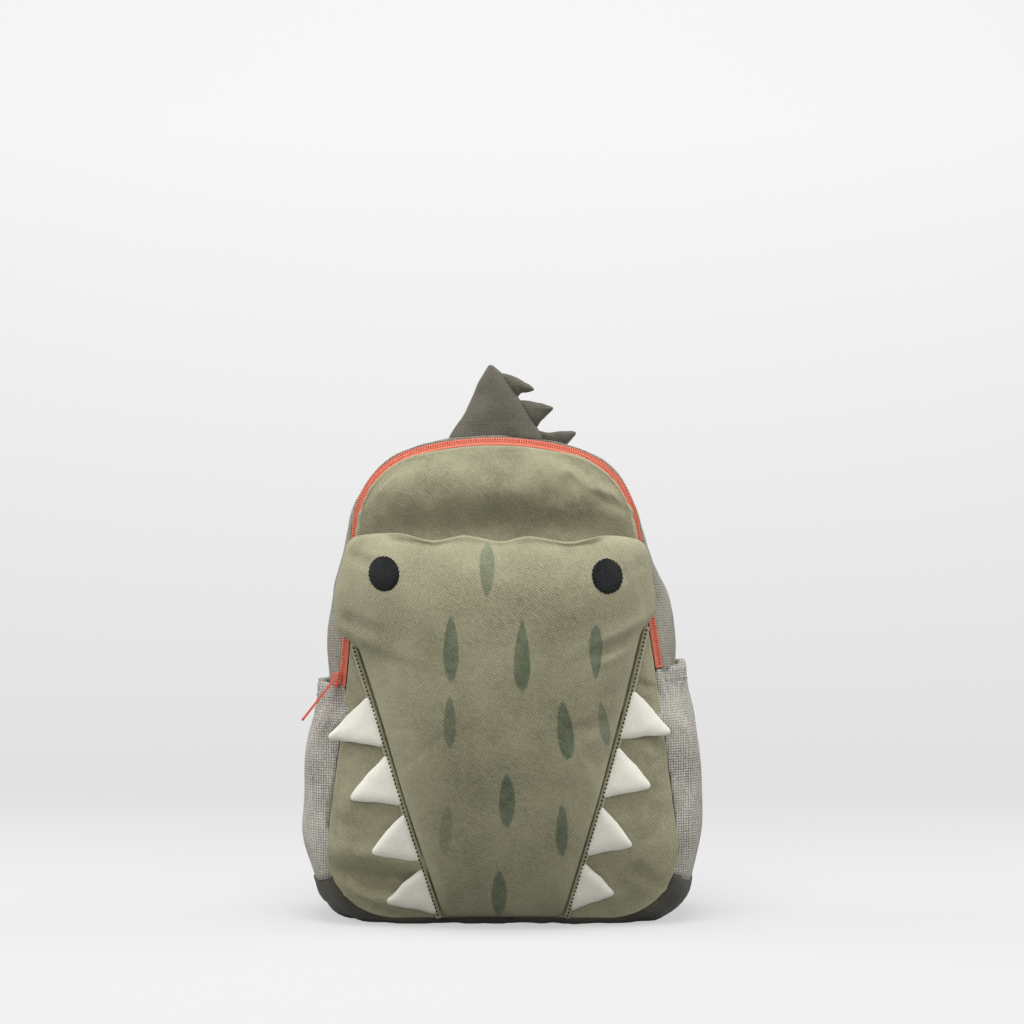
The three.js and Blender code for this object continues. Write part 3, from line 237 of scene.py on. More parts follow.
# %% Twill rib
def twill_group():
    inputs = [("Vector", "Vector", None), ("Spacing", "Float", 2.2), ("Angle", "Float", 0.5)]
    tree, given, result = group_of("twill rib", inputs, [("Height", "Float"), ("Shade", "Float")])
    place = scaled(tree, given.outputs["Vector"], 1 / MM)
    wander = node_in(tree, "TexNoise", Vector=place, Scale=0.07, Detail=3.0)
    shift = scaled(tree, vector_maths(tree, "SUBTRACT", wander.outputs["Color"], (0.5, 0.5, 0.5)), 1.6)
    moved = vector_maths(tree, "ADD", place, shift)
    axis = {"rotation_type": "Y_AXIS"}
    turned = node_in(tree, "VectorRotate", axis, Vector=moved, Angle=given.outputs["Angle"])
    parts = node_in(tree, "SeparateXYZ", Vector=turned.outputs[0])
    radians = maths(tree, "MULTIPLY", parts.outputs["Z"], 2 * math.pi)
    turns = maths(tree, "DIVIDE", radians, given.outputs["Spacing"])
    rib = maths(tree, "SINE", turns)
    yarn = maths(tree, "SINE", maths(tree, "MULTIPLY", parts.outputs["X"], 2 * math.pi / 0.9))
    stretched = vector_maths(tree, "MULTIPLY", turned.outputs[0], (0.22, 1.0, 1.0))
    slub = node_in(tree, "TexNoise", Vector=stretched, Scale=1.1, Detail=3.0, Roughness=0.65)
    broken = maths(tree, "MULTIPLY", rib, maths(tree, "MULTIPLY_ADD", slub.outputs["Fac"], 1.6, -0.3))
    height = maths(tree, "ADD", maths(tree, "MULTIPLY", broken, 0.45), maths(tree, "MULTIPLY", yarn, 0.1))
    tree.links.new(maths(tree, "MULTIPLY_ADD", slub.outputs["Fac"], 0.5, height), result.inputs["Height"])
    speck = node_in(tree, "TexNoise", Vector=moved, Scale=1.1, Detail=1.0)
    shade = maths(tree, "MULTIPLY_ADD", broken, 0.5, 0.5)
    uneven = maths(tree, "MULTIPLY_ADD", slub.outputs["Fac"], 0.9, -0.45)
    specked = maths(tree, "MULTIPLY_ADD", speck.outputs["Fac"], 0.5, -0.25)
    total = maths(tree, "ADD", maths(tree, "ADD", shade, uneven), specked)
    tree.links.new(total, result.inputs["Shade"])
    return tree


twill_rib = twill_group()
print("twill rib has", len(twill_rib.nodes), "nodes")


# %% Plain weave
def weave_group():
    inputs = [("Vector", "Vector", None), ("Spacing", "Float", 1.2), ("Check", "Float", 0.0)]
    tree, given, result = group_of("plain weave", inputs, [("Height", "Float"), ("Shade", "Float")])
    place = scaled(tree, given.outputs["Vector"], 1 / MM)
    wander = node_in(tree, "TexNoise", Vector=place, Scale=0.12, Detail=2.0)
    moved = vector_maths(tree, "ADD", place, scaled(tree, wander.outputs["Color"], 0.7))
    parts = node_in(tree, "SeparateXYZ", Vector=moved)
    turn = maths(tree, "DIVIDE", 2 * math.pi, given.outputs["Spacing"])
    waves = [maths(tree, "SINE", maths(tree, "MULTIPLY", parts.outputs[axis], turn)) for axis in ("X", "Y")]
    height = maths(tree, "MULTIPLY", waves[0], waves[1])
    lines = maths(tree, "MAXIMUM", waves[0], waves[1])
    thin = maths(tree, "POWER", maths(tree, "MAXIMUM", lines, 0.0), 2.0)
    checked = maths(tree, "MULTIPLY", thin, given.outputs["Check"])
    slub = node_in(tree, "TexNoise", Vector=moved, Scale=0.9, Detail=3.0)
    uneven = maths(tree, "MULTIPLY", slub.outputs["Fac"], 0.6)
    rough = maths(tree, "MULTIPLY_ADD", height, 0.3, uneven)
    sunk = maths(tree, "MULTIPLY", checked, 0.5)
    tree.links.new(maths(tree, "SUBTRACT", rough, sunk), result.inputs["Height"])
    yarn = maths(tree, "MULTIPLY_ADD", slub.outputs["Fac"], 1.4, -0.1)
    tree.links.new(maths(tree, "SUBTRACT", yarn, checked), result.inputs["Shade"])
    return tree


plain_weave = weave_group()
print("plain weave has", len(plain_weave.nodes), "nodes")


# %% Fading
def fading_group():
    inputs = [("Vector", "Vector", None), ("Size", "Float", 40.0)]
    tree, given, result = group_of("fading", inputs, [("Mask", "Float"), ("Crease", "Float")])
    place = scaled(tree, given.outputs["Vector"], 1 / MM)
    scale = maths(tree, "DIVIDE", 1.0, given.outputs["Size"])
    broad = node_in(tree, "TexNoise", Vector=place, Scale=scale, Detail=5.0, Roughness=0.6)
    spread = node_in(tree, "MapRange", Value=broad.outputs["Fac"], From_Min=0.32, From_Max=0.68)
    tree.links.new(spread.outputs[0], result.inputs["Mask"])
    fine = node_in(tree, "TexNoise", Vector=place, Scale=maths(tree, "MULTIPLY", scale, 2.0), Detail=4.0)
    fine.inputs["Distortion"].default_value = 1.2
    ridge = maths(tree, "ABSOLUTE", maths(tree, "SUBTRACT", fine.outputs["Fac"], 0.5))
    crease = node_in(tree, "MapRange", Value=ridge, From_Min=0.0, From_Max=0.12, To_Min=1.0, To_Max=0.0)
    tree.links.new(crease.outputs[0], result.inputs["Crease"])
    return tree


fading = fading_group()
print("fading has", len(fading.nodes), "nodes")

# %% [markdown]
# ## Cloth materials
#
# One function makes every cloth: it takes the pattern group, the dark and the light of the yarn and the
# size of the weave. The pattern reads either Object coordinates, on a skin that faces the front, or the
# piece's own UV map in metres, on a piece that bends round. An attribute that is near 1 beside a seam makes
# the cloth paler there, partly as edge wear and partly as a painted highlight on the rolled rim, and sheen
# gives the soft pale edge of brushed cotton.

# %% Cloth
def colour_of(red, green, blue):
    """A colour as a screen shows it, turned into the linear values that a shader works with."""
    return tuple(((c / 255 + 0.055) / 1.055) ** 2.4 if c > 10 else c / 3294.6 for c in (red, green, blue))


def cloth(
    name, dark, light, pattern, spacing, source="UV", angle=0.0, check=0.0, bump=0.5, fade=0.35, size=40.0
):
    """A woven cloth. dark and light are the yarn's shades, and fade how far it pales in patches and beside
    its seams.
    """
    material = plain_material(name, colour_of(*light), 0.92)
    tree = material.node_tree
    shader = tree.nodes["Principled BSDF"]
    shader.inputs["Sheen Weight"].default_value = 0.12
    shader.inputs["Sheen Roughness"].default_value = 0.6
    shader.inputs["Specular IOR Level"].default_value = 0.15
    places = node_in(tree, "TexCoord")
    woven = tree.nodes.new("ShaderNodeGroup")
    woven.node_tree = pattern
    woven.inputs["Spacing"].default_value = spacing
    seen_flat = places.outputs[source]
    if pattern == twill_rib:
        woven.inputs["Angle"].default_value = angle
    else:
        woven.inputs["Check"].default_value = check
        if source == "Object":
            turned = {"rotation_type": "X_AXIS"}
            seen_flat = node_in(tree, "VectorRotate", turned, Vector=seen_flat, Angle=math.pi / 2).outputs[0]
    tree.links.new(seen_flat, woven.inputs["Vector"])
    faded = tree.nodes.new("ShaderNodeGroup")
    faded.node_tree = fading
    tree.links.new(places.outputs["Object"], faded.inputs["Vector"])
    faded.inputs["Size"].default_value = size
    yarn = mixed(tree, woven.outputs["Shade"], (*colour_of(*dark), 1), (*colour_of(*light), 1))
    paler = tuple(min(1, c * (1 + fade)) for c in colour_of(*light))
    # Beside a seam the cloth is made paler: partly edge wear, partly a painted highlight where the padding
    # rolls to the seam.
    rubbed = node_in(tree, "Attribute", {"attribute_name": "seam_wear_and_highlight"})
    paling_share = maths(tree, "MULTIPLY_ADD", rubbed.outputs["Fac"], 0.5, faded.outputs["Mask"])
    washed = mixed(tree, maths(tree, "MULTIPLY", paling_share, min(fade, 1)), yarn, (*paler, 1))
    tree.links.new(washed, shader.inputs["Base Color"])
    wrinkled = maths(tree, "MULTIPLY_ADD", faded.outputs["Crease"], 0.6, woven.outputs["Height"])
    relief = node_in(tree, "Bump", Strength=bump, Distance=0.35 * MM, Height=wrinkled)
    tree.links.new(relief.outputs["Normal"], shader.inputs["Normal"])
    material["washed"] = washed.node.name
    return material


TWILL_ANGLE = math.radians(-34)
TWILL_SPACING = 1.3
DARK_OLIVE = (74, 71, 53)
PALE_OLIVE = (163, 159, 131)
olive_twill = cloth(
    "olive_twill", DARK_OLIVE, PALE_OLIVE, twill_rib, TWILL_SPACING, "Object", angle=TWILL_ANGLE
)
grey_cloth = cloth("grey_cloth", (86, 84, 74), (174, 170, 154), plain_weave, 1.6, check=0.6)
dark_cloth = cloth("dark_cloth", (46, 45, 39), (80, 78, 69), plain_weave, 1.3)
check_cloth = cloth("check_cloth", (92, 89, 82), (210, 206, 195), plain_weave, 1.6, check=0.8)
tail_cloth = cloth("tail_cloth", (57, 55, 48), (107, 103, 92), plain_weave, 1.5, "Object", check=0.5)
cream_cloth = cloth(
    "cream_cloth", (210, 208, 193), (236, 234, 222), plain_weave, 0.9, "Object", bump=0.15, fade=0.1
)
webbing_cloth = cloth("webbing_cloth", (50, 50, 46), (78, 77, 71), plain_weave, 1.6, bump=0.8)
coral_tape = cloth("coral_tape", (190, 92, 70), (226, 134, 110), plain_weave, 0.8, bump=0.4, fade=0.1)
olive_edge = cloth("olive_edge", (110, 107, 84), (170, 166, 136), plain_weave, 0.8, "Object", bump=0.6)
dark_thread = plain_material("dark_thread", colour_of(46, 45, 35), 0.8)
pale_thread = plain_material("pale_thread", colour_of(150, 148, 130), 0.8)
coral_plastic = plain_material("coral_plastic", colour_of(206, 92, 68), 0.4)
coral_enamel = plain_material("coral_enamel", colour_of(226, 92, 66), 0.35)
dark_plastic = plain_material("dark_plastic", colour_of(46, 46, 43), 0.5)
print("materials:", [m.name for m in bpy.data.materials])

# %% [markdown]
# ## Sizes that the soft pieces share with the CAD
#
# The shell's outline, the way the panel and the snout stand out, and the gathers and dents are named sizes
# and tables like those of the CAD source, so each soft piece lies where its solid is. The snout differs a
# little: its cheeks reach about 3 mm further out, pressed over the zip, and its lower half is fuller.

# %% Named sizes
SEAM_TOP = 296
SEAM_BOTTOM = 6
SHELL_DEPTH = 90
DEPTH_TAPER = 5
SHOULDER_HALF_WIDTH = 79.5
HIP_HALF_WIDTH = 113.5
CROWN_SLOPE = math.radians(15)
CROWN_ROUND = 200
SHOULDER_ROUND = 52
HIP_ROUND = 43
LEAN = 5
LEAN_FROM = 120
PANEL_RIM = 3
PANEL_CROWN = 20
PANEL_EDGE = 4
SEAM_GAP = 0.5
REST_GAP = 0.7
SNOUT_TOP = 241
SNOUT_HALF_WIDTH = 97
SNOUT_STAND = 27
SNOUT_ROUND = 10
SNOUT_WAVE = 3.2
MOUTH_HALF_WIDTH = 68
MOUTH_SLOT = 7
print("seam is", SEAM_TOP - SEAM_BOTTOM, "mm tall and", 2 * HIP_HALF_WIDTH, "mm wide")

# %% Tables from the CAD
SNOUT_CORNERS = [
    {"seam": "left low", "across": -0.376, "up": 0.021, "round": 0.6},
    {"seam": "right low", "across": 0.383, "up": 0.021, "round": 0.6},
    {"seam": "right top", "across": 0.912, "up": 0.769, "round": 1},
    {"seam": "", "across": 1.015, "up": 0.795, "round": 1},
    {"seam": "", "across": 1.0, "up": 0.88, "round": 3},
    {"seam": "", "across": 0.965, "up": 0.99, "round": 0.9},
    {"seam": "", "across": -0.945, "up": 1, "round": 0.9},
    {"seam": "", "across": -1.055, "up": 0.86, "round": 3},
    {"seam": "", "across": -1.065, "up": 0.75, "round": 1},
    {"seam": "left top", "across": -0.918, "up": 0.724, "round": 1},
]
SNOUT_STANDS = [
    {"up": 0.02, "stand": 0.3},
    {"up": 0.2, "stand": 0.6},
    {"up": 0.45, "stand": 0.83},
    {"up": 0.7, "stand": 0.97},
    {"up": 0.88, "stand": 1},
    {"up": 1, "stand": 0.8},
]
TOP_GATHERS = [
    {"across": -1, "rise": 0},
    {"across": -0.6, "rise": 0.8},
    {"across": -0.4, "rise": -0.7},
    {"across": -0.2, "rise": 0.7},
    {"across": 0.03, "rise": -0.6},
    {"across": 0.2, "rise": 0.7},
    {"across": 0.47, "rise": -0.7},
    {"across": 0.68, "rise": 0.9},
    {"across": 1, "rise": 0},
]
PANEL_DENTS = [
    {"across": 0.12, "up": 0.85, "long": 0.5, "wide": 0.045, "deep": 5, "turn": 2},
    {"across": 0.62, "up": 0.93, "long": 0.2, "wide": 0.04, "deep": 2.6, "turn": -40},
    {"across": -0.66, "up": 0.07, "long": 0.22, "wide": 0.05, "deep": 3, "turn": 12},
    {"across": 0.78, "up": 0.35, "long": 0.2, "wide": 0.04, "deep": 2.6, "turn": -35},
    {"across": 0.7, "up": 0.08, "long": 0.18, "wide": 0.045, "deep": 2.6, "turn": -20},
]
SNOUT_DENTS = [
    {"across": 0.68, "up": 0.65, "long": 0.24, "wide": 0.045, "deep": 3, "turn": 24},
    {"across": -0.62, "up": 0.6, "long": 0.2, "wide": 0.05, "deep": 2.6, "turn": -30},
    {"across": 0.02, "up": 0.77, "long": 0.1, "wide": 0.07, "deep": 0.6, "turn": 90},
]
print("rows:", len(SNOUT_CORNERS), len(SNOUT_STANDS), len(TOP_GATHERS), len(PANEL_DENTS), len(SNOUT_DENTS))

# %% [markdown]
# ## Folds
#
# The CAD holds the broad dents only. A real padded cloth also has short creases that run in from its seams,
# where more cloth was sewn in than lies flat. Each row is one crease, from one point to another as seen
# from the front. Beside its valley a crease has a low ridge, because the cloth that it takes up rises there.

# %% Fold tables
PANEL_FOLDS = [
    {"from": (-80, 241), "to": (84, 241), "wide": 18, "deep": 11, "ridge": 0},
    {"from": (49, 288), "to": (72, 275), "wide": 4, "deep": 2.8},
    {"from": (62, 266), "to": (82, 257), "wide": 2.4, "deep": 2.2},
    {"from": (88, 149), "to": (105, 143), "wide": 2.6, "deep": 2.6},
    {"from": (74, 128), "to": (103, 107), "wide": 4, "deep": 3.4},
    {"from": (92, 101), "to": (112, 106), "wide": 2.2, "deep": 2.4},
    {"from": (92, 85), "to": (113, 80), "wide": 2.4, "deep": 2.6},
    {"from": (82, 36), "to": (106, 18), "wide": 3.4, "deep": 3.4},
    {"from": (-114, 37), "to": (-50, 26), "wide": 6.5, "deep": 9},
    {"from": (-112, 70), "to": (-92, 63), "wide": 2.6, "deep": 2.4},
    {"from": (-99, 152), "to": (-88, 136), "wide": 2.6, "deep": 2.4},
    {"from": (-106, 122), "to": (-92, 114), "wide": 2.4, "deep": 2},
]
SNOUT_FOLDS = [
    {"from": (99, 187), "to": (62, 171), "wide": 3, "deep": 4.2},
    {"from": (-103, 236), "to": (-80, 225), "wide": 2.6, "deep": 3.2},
    {"from": (72, 243), "to": (76, 218), "wide": 2.6, "deep": 3.2},
    {"from": (96, 228), "to": (84, 221), "wide": 2.2, "deep": 2.4},
    {"from": (-39, 246), "to": (-37, 230), "wide": 3.4, "deep": 2.4},
    {"from": (2, 246), "to": (3, 232), "wide": 3.2, "deep": 2},
    {"from": (45, 246), "to": (43, 230), "wide": 3.4, "deep": 2.4},
    {"from": (-100, 192), "to": (-78, 184), "wide": 3.2, "deep": 1.8},
    {"from": (70, 132), "to": (52, 124), "wide": 4, "deep": 1.4},
]


def fold_depth(folds, x, z):
    total = 0
    for fold in folds:
        (ax, az), (bx, bz) = fold["from"], fold["to"]
        length = math.hypot(bx - ax, bz - az)
        along = ((x - ax) * (bx - ax) + (z - az) * (bz - az)) / length
        off = ((x - ax) * (bz - az) - (z - az) * (bx - ax)) / length / fold["wide"]
        if abs(off) < 4:
            past = max(-along, along - length, 0) / (1.5 * fold["wide"])
            ridge = fold.get("ridge", 0.4)
            valley = math.exp(-off * off) - ridge * math.exp(-((abs(off) - 2) ** 2))
            total += fold["deep"] * valley * math.exp(-past * past)
    return total


print("folds:", len(PANEL_FOLDS), "in the panel and", len(SNOUT_FOLDS), "in the snout")


# %% Shape helpers
def lerp(a, b, share):
    return a + (b - a) * share


def smoothstep(value, low, high):
    share = min(max((value - low) / (high - low), 0), 1)
    return share * share * (3 - 2 * share)


def read_table(rows, key, column, place):
    """A value between a table's rows, smooth across them."""
    at = min(max(place, rows[0][key]), rows[-1][key])
    row = 0
    while row < len(rows) - 2 and at > rows[row + 1][key]:
        row += 1

    def slope(i):
        before, after = rows[max(i - 1, 0)], rows[min(i + 1, len(rows) - 1)]
        return (after[column] - before[column]) / (after[key] - before[key])

    low, high = rows[row], rows[row + 1]
    span = high[key] - low[key]
    t = (at - low[key]) / span
    bend = t * (1 - t) * ((1 - t) * slope(row) - t * slope(row + 1)) * span
    return lerp(low[column], high[column], t * t * (3 - 2 * t)) + bend


def lean_at(z):
    """The sideways sag of the empty upper part."""
    return -LEAN * smoothstep(z, LEAN_FROM, SEAM_TOP)


def dent_depth(dents, x, z):
    total = 0
    for dent in dents:
        turn = math.radians(dent["turn"])
        dx = x - dent["across"] * HIP_HALF_WIDTH
        dz = z - dent["up"] * SEAM_TOP
        along = (dx * math.cos(turn) + dz * math.sin(turn)) / (dent["long"] * HIP_HALF_WIDTH)
        over = (dz * math.cos(turn) - dx * math.sin(turn)) / (dent["wide"] * SEAM_TOP)
        total += dent["deep"] * math.exp(-along * along - over * over)
    return total


print("the crown leans", round(lean_at(SEAM_TOP), 1), "mm sideways")


# %% Outlines
class Outline:
    """A closed outline with rounded corners, seen from a middle point."""

    def __init__(self, corners, middle):
        self.middle = Vector(middle)
        self.points = rounded_path(corners)
        besides = [point - self.middle for point in self.points]
        marks = sorted((math.atan2(beside.y, beside.x), beside.length) for beside in besides)
        self.angles = [angle for angle, _ in marks]
        self.reaches = [reach for _, reach in marks]

    def reach(self, angle):
        found = bisect.bisect_right(self.angles, angle)
        high = found % len(self.angles)
        low = found - 1
        turn = 2 * math.pi
        span = (self.angles[high] - self.angles[low]) % turn or 1e-6
        return lerp(self.reaches[low], self.reaches[high], ((angle - self.angles[low]) % turn) / span)

    def share(self, x, z):
        beside = Vector((x, z)) - self.middle
        return beside.length / self.reach(math.atan2(beside.y, beside.x))

    def place(self, share, angle):
        return self.middle + Vector((math.cos(angle), math.sin(angle))) * self.reach(angle) * share


def rounded_path(corners, spacing=1.2):
    """Points along a closed line through corners that are each rounded by their own radius."""
    points = [Vector((c["x"], c["z"])) for c in corners]
    count = len(points)
    sides = [points[(i + 1) % count] - points[i] for i in range(count)]
    turns = [math.atan2(sides[i - 1].cross(sides[i]), sides[i - 1].dot(sides[i])) for i in range(count)]
    reaches = [c["round"] * math.tan(abs(turns[i]) / 2) for i, c in enumerate(corners)]
    fits = [min(1, sides[i].length / (reaches[i] + reaches[(i + 1) % count] + 1e-6)) for i in range(count)]
    route = []
    for i, point in enumerate(points):
        fit = min(fits[i], fits[i - 1])
        radius = corners[i]["round"] * fit
        into = sides[i - 1].normalized()
        start = point - into * reaches[i] * fit
        steps = max(1, math.ceil(abs(turns[i]) * radius / spacing))
        side = math.copysign(1, turns[i])
        centre = start + Vector((-into.y, into.x)) * radius * side
        for step in range(steps + 1):
            turned = Matrix.Rotation(turns[i] * step / steps, 2) @ (start - centre)
            route.append(centre + turned)
    filled = []
    for a, b in zip(route, route[1:] + route[:1]):
        steps = max(1, math.ceil((b - a).length / spacing))
        filled += [a.lerp(b, step / steps) for step in range(steps)]
    return filled


crown_corner = SEAM_TOP + CROWN_ROUND * (1 / math.cos(CROWN_SLOPE) - 1)
shoulder_corner = crown_corner - SHOULDER_HALF_WIDTH * math.tan(CROWN_SLOPE)
shell_corners = [
    {"x": 0, "z": SEAM_BOTTOM, "round": 0},
    {"x": HIP_HALF_WIDTH, "z": SEAM_BOTTOM, "round": HIP_ROUND},
    {"x": SHOULDER_HALF_WIDTH, "z": shoulder_corner, "round": SHOULDER_ROUND},
    {"x": 0, "z": crown_corner, "round": CROWN_ROUND},
    {"x": -SHOULDER_HALF_WIDTH, "z": shoulder_corner, "round": SHOULDER_ROUND},
    {"x": -HIP_HALF_WIDTH, "z": SEAM_BOTTOM, "round": HIP_ROUND},
]
snout_corners = [
    {"x": c["across"] * SNOUT_HALF_WIDTH, "z": c["up"] * SNOUT_TOP, "round": c["round"] * SNOUT_ROUND}
    for c in SNOUT_CORNERS
]
shell_outline = Outline(shell_corners, (0, (SEAM_TOP + SEAM_BOTTOM) / 2))
snout_outline = Outline(snout_corners, (0, SNOUT_TOP * 0.62))
print("points on the outlines:", len(shell_outline.points), len(snout_outline.points))


# %% Heights of the skins
def seam_y(z):
    """The front seam, which leans back towards the crown."""
    return -SHELL_DEPTH / 2 + DEPTH_TAPER * smoothstep(z, 0, SEAM_TOP)


def panel_y(x, z):
    """Front of the padded panel."""
    share = min(shell_outline.share(x, z), 1)
    crown = PANEL_CROWN * (1 - share**2.4) + PANEL_EDGE * (1 - share**10)
    return seam_y(z) - PANEL_RIM - crown + dent_depth(PANEL_DENTS, x, z) * (1 - share**4)


def snout_y(x, z, share):
    """Front of the snout. Along its open top edge it stands off the panel by the slot."""
    stand = SNOUT_STAND * read_table(SNOUT_STANDS, "up", "stand", z / SNOUT_TOP)
    dent = dent_depth(SNOUT_DENTS, x, z) * (1 - share**6) + fold_depth(SNOUT_FOLDS, x, z) * (1 - share**12)
    height = max(0, stand * max(0, 1 - share**3) ** 0.5 - dent)
    open_part = smoothstep(z, SNOUT_TOP * 0.93, SNOUT_TOP) * smoothstep(MOUTH_HALF_WIDTH + 8 - abs(x), 0, 16)
    height = max(height, (MOUTH_SLOT + 2) * open_part)
    return panel_y(x, z) - REST_GAP - PANEL_RIM - height


print("the snout stands", round(panel_y(0, 200) - snout_y(0, 200, 0), 1), "mm off the panel")

# %% [markdown]
# ## Soft skins
#
# A sewn panel is a flat cut of cloth held all round by its seam and pushed out by its padding. It starts
# as a grid of quads bent to fit the outline, so the folds can run in any direction. Cloth simulation then
# gives it a little more cloth than the outline has room for: the padding presses out, the seam holds, and
# puckers form beside the stitches as they do on the real bag. How far a point moves is capped.

# %% Skin from a grid
def soft_skin(name, outline, depth, spacing, shift=None, spread=1.0):
    """A grid of quads bent into an outline. Returns the piece and each vertex's share of the way out."""
    xs = [p.x for p in outline.points]
    zs = [p.y for p in outline.points]
    wide, tall = max(xs) - min(xs), max(zs) - min(zs)
    columns, rows = round(wide / spacing), round(tall / spacing)
    bpy.ops.object.select_all(action="DESELECT")
    bpy.ops.mesh.primitive_grid_add(x_subdivisions=columns, y_subdivisions=rows, size=2)
    skin = bpy.context.object
    skin.name = name
    shares = []
    for vertex in skin.data.vertices:
        u, w = vertex.co.x, vertex.co.y
        across, up = u * math.sqrt(1 - w * w / 2), w * math.sqrt(1 - u * u / 2)
        share = min(math.hypot(across, up), 1)
        x, z = outline.place(share * spread, math.atan2(up * tall, across * wide))
        if shift:
            z += shift(x, z, share)
        vertex.co = Vector((x + lean_at(z), depth(x, z, share), z)) * MM
        shares.append(share)
    print(name, len(skin.data.vertices), "points in", columns, "by", rows)
    return skin, shares


# %% Cloth simulation
def settle(piece, sewn, growth, pressure, out_cap, in_cap, frames=20):
    """Cloth simulation of a skin. sewn is 1 where it can't move, and growth is its extra cloth."""
    rest = [v.co.copy() for v in piece.data.vertices]
    group = piece.vertex_groups.new(name="sewn")
    for vertex, held in zip(piece.data.vertices, sewn):
        group.add([vertex.index], held, "REPLACE")
    modifier = piece.modifiers.new("Cloth", "CLOTH")
    settings = modifier.settings
    settings.quality = 6
    settings.mass = 0.15
    settings.tension_stiffness = 15
    settings.compression_stiffness = 15
    settings.shear_stiffness = 5
    settings.bending_stiffness = 0.08
    settings.use_pressure = True
    settings.uniform_pressure_force = pressure
    settings.shrink_min = -growth
    settings.vertex_group_mass = "sewn"
    settings.effector_weights.gravity = 0
    modifier.collision_settings.use_collision = False
    for step in range(1, frames + 1):
        scene.frame_set(step)
    alone(piece)
    bpy.ops.object.modifier_apply(modifier=modifier.name)
    scene.frame_set(1)
    most = 0
    for vertex, start in zip(piece.data.vertices, rest):
        move = vertex.co - start
        most = max(most, move.length / MM)
        cap = (out_cap if move.y < 0 else in_cap) * MM
        if move.length > cap:
            vertex.co = start + move * (cap / move.length)
    print(piece.name, "moved up to", round(most, 2), "mm before the cap")


# %% [markdown]
# ## Finishing a piece
#
# Every piece ends the same way: modifiers are applied, shading is smoothed, and the piece is told what it
# is made of, which body it moves with and which solid it stands for. The share of the way out to the seam
# is kept as an attribute that makes the cloth paler beside its seams, as edge wear and a painted highlight.

# %% Modifiers and attributes
def apply(piece, kind, **settings):
    """Adds a modifier with its settings and applies it."""
    alone(piece)
    modifier = piece.modifiers.new(kind.title(), kind)
    for key, value in settings.items():
        setattr(modifier, key, value)
    bpy.ops.object.modifier_apply(modifier=modifier.name)


def smooth(piece, levels):
    """Catmull-Clark subdivision, then smooth shading."""
    if levels:
        apply(piece, "SUBSURF", levels=levels, render_levels=levels)
    alone(piece)
    bpy.ops.object.shade_smooth()


def store_wear_and_highlight(piece, amounts):
    """Stores how much paler the cloth is at each point: edge wear together with a painted highlight on the
    rolled rim.
    """
    layer = piece.data.attributes.new("seam_wear_and_highlight", "FLOAT", "POINT")
    layer.data.foreach_set("value", amounts)


def dress(piece, material, slot, *nodes, body="bag"):
    """Gives a piece its material, and lets it ride in place of its CAD nodes. The slot is not used."""
    piece.data.materials.clear()
    piece.data.materials.append(material)
    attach(piece, body)
    if nodes:
        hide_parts(*nodes)
    print(piece.name, len(piece.data.polygons), "faces of", material.name)


# %% [markdown]
# ## The front panel
#
# The lower jaw and the forehead of the bag are one padded panel behind the snout. The snout, its edging
# and the teeth are sewn to it, so the simulation holds the cloth there and along the outer seam, and
# leaves it free between them. Its rim reaches a little over the seam line, as the roll of padding does.

# %% Front panel
PANEL_SPACING = 3.0
PANEL_SPREAD = 1.011
JAW_FREE = 1.3
RIM_WAVES = 17
RIM_WAVE_DEEP = 1.1


def panel_front(x, z, share):
    """The panel with its short creases and the small waves that its seam pulls in."""
    angle = math.atan2(z - SEAM_TOP / 2, x)
    near_rim = smoothstep(share, 0.72, 0.94) * (1 - share**16)
    wave = noise.noise(Vector((math.cos(angle), math.sin(angle), 0.3)) * RIM_WAVES / 2.4) * near_rim
    return panel_y(x, z) + fold_depth(PANEL_FOLDS, x, z) * (1 - share**10) + wave * 2 * RIM_WAVE_DEEP


def held_by_snout(x, z):
    """1 under the snout, falling to 0 away from it."""
    return 1 - smoothstep(snout_outline.share(x, z), 1.02, JAW_FREE)


front = "padded_front_panel"
panel, panel_shares = soft_skin(front, shell_outline, panel_front, PANEL_SPACING, spread=PANEL_SPREAD)
panel_sewn = []
for vertex, share in zip(panel.data.vertices, panel_shares):
    x, _, z = vertex.co / MM
    panel_sewn.append(max(smoothstep(share, 0.94, 1), held_by_snout(x - lean_at(z), z)))
settle(panel, panel_sewn, growth=0.02, pressure=3, out_cap=1.6, in_cap=3)
# The panel is made paler towards its seam: edge wear and a painted highlight on its rolled rim.
store_wear_and_highlight(panel, [share**14 for share in panel_shares])
apply(panel, "SOLIDIFY", thickness=4 * MM, offset=-1)
smooth(panel, 1)
dress(panel, olive_twill, "olive_twill", "front_panel")


# %% [markdown]
# ## Marks on the snout
#
# Eleven drop-shaped marks are printed on the snout's twill. A mark darkens the yarns and leaves the ribs to
# be seen, so it multiplies the cloth's own colour. Its edge frays along the weave, and some marks are
# nearly washed out. The panel's twill has no marks, so the snout has a material of its own.

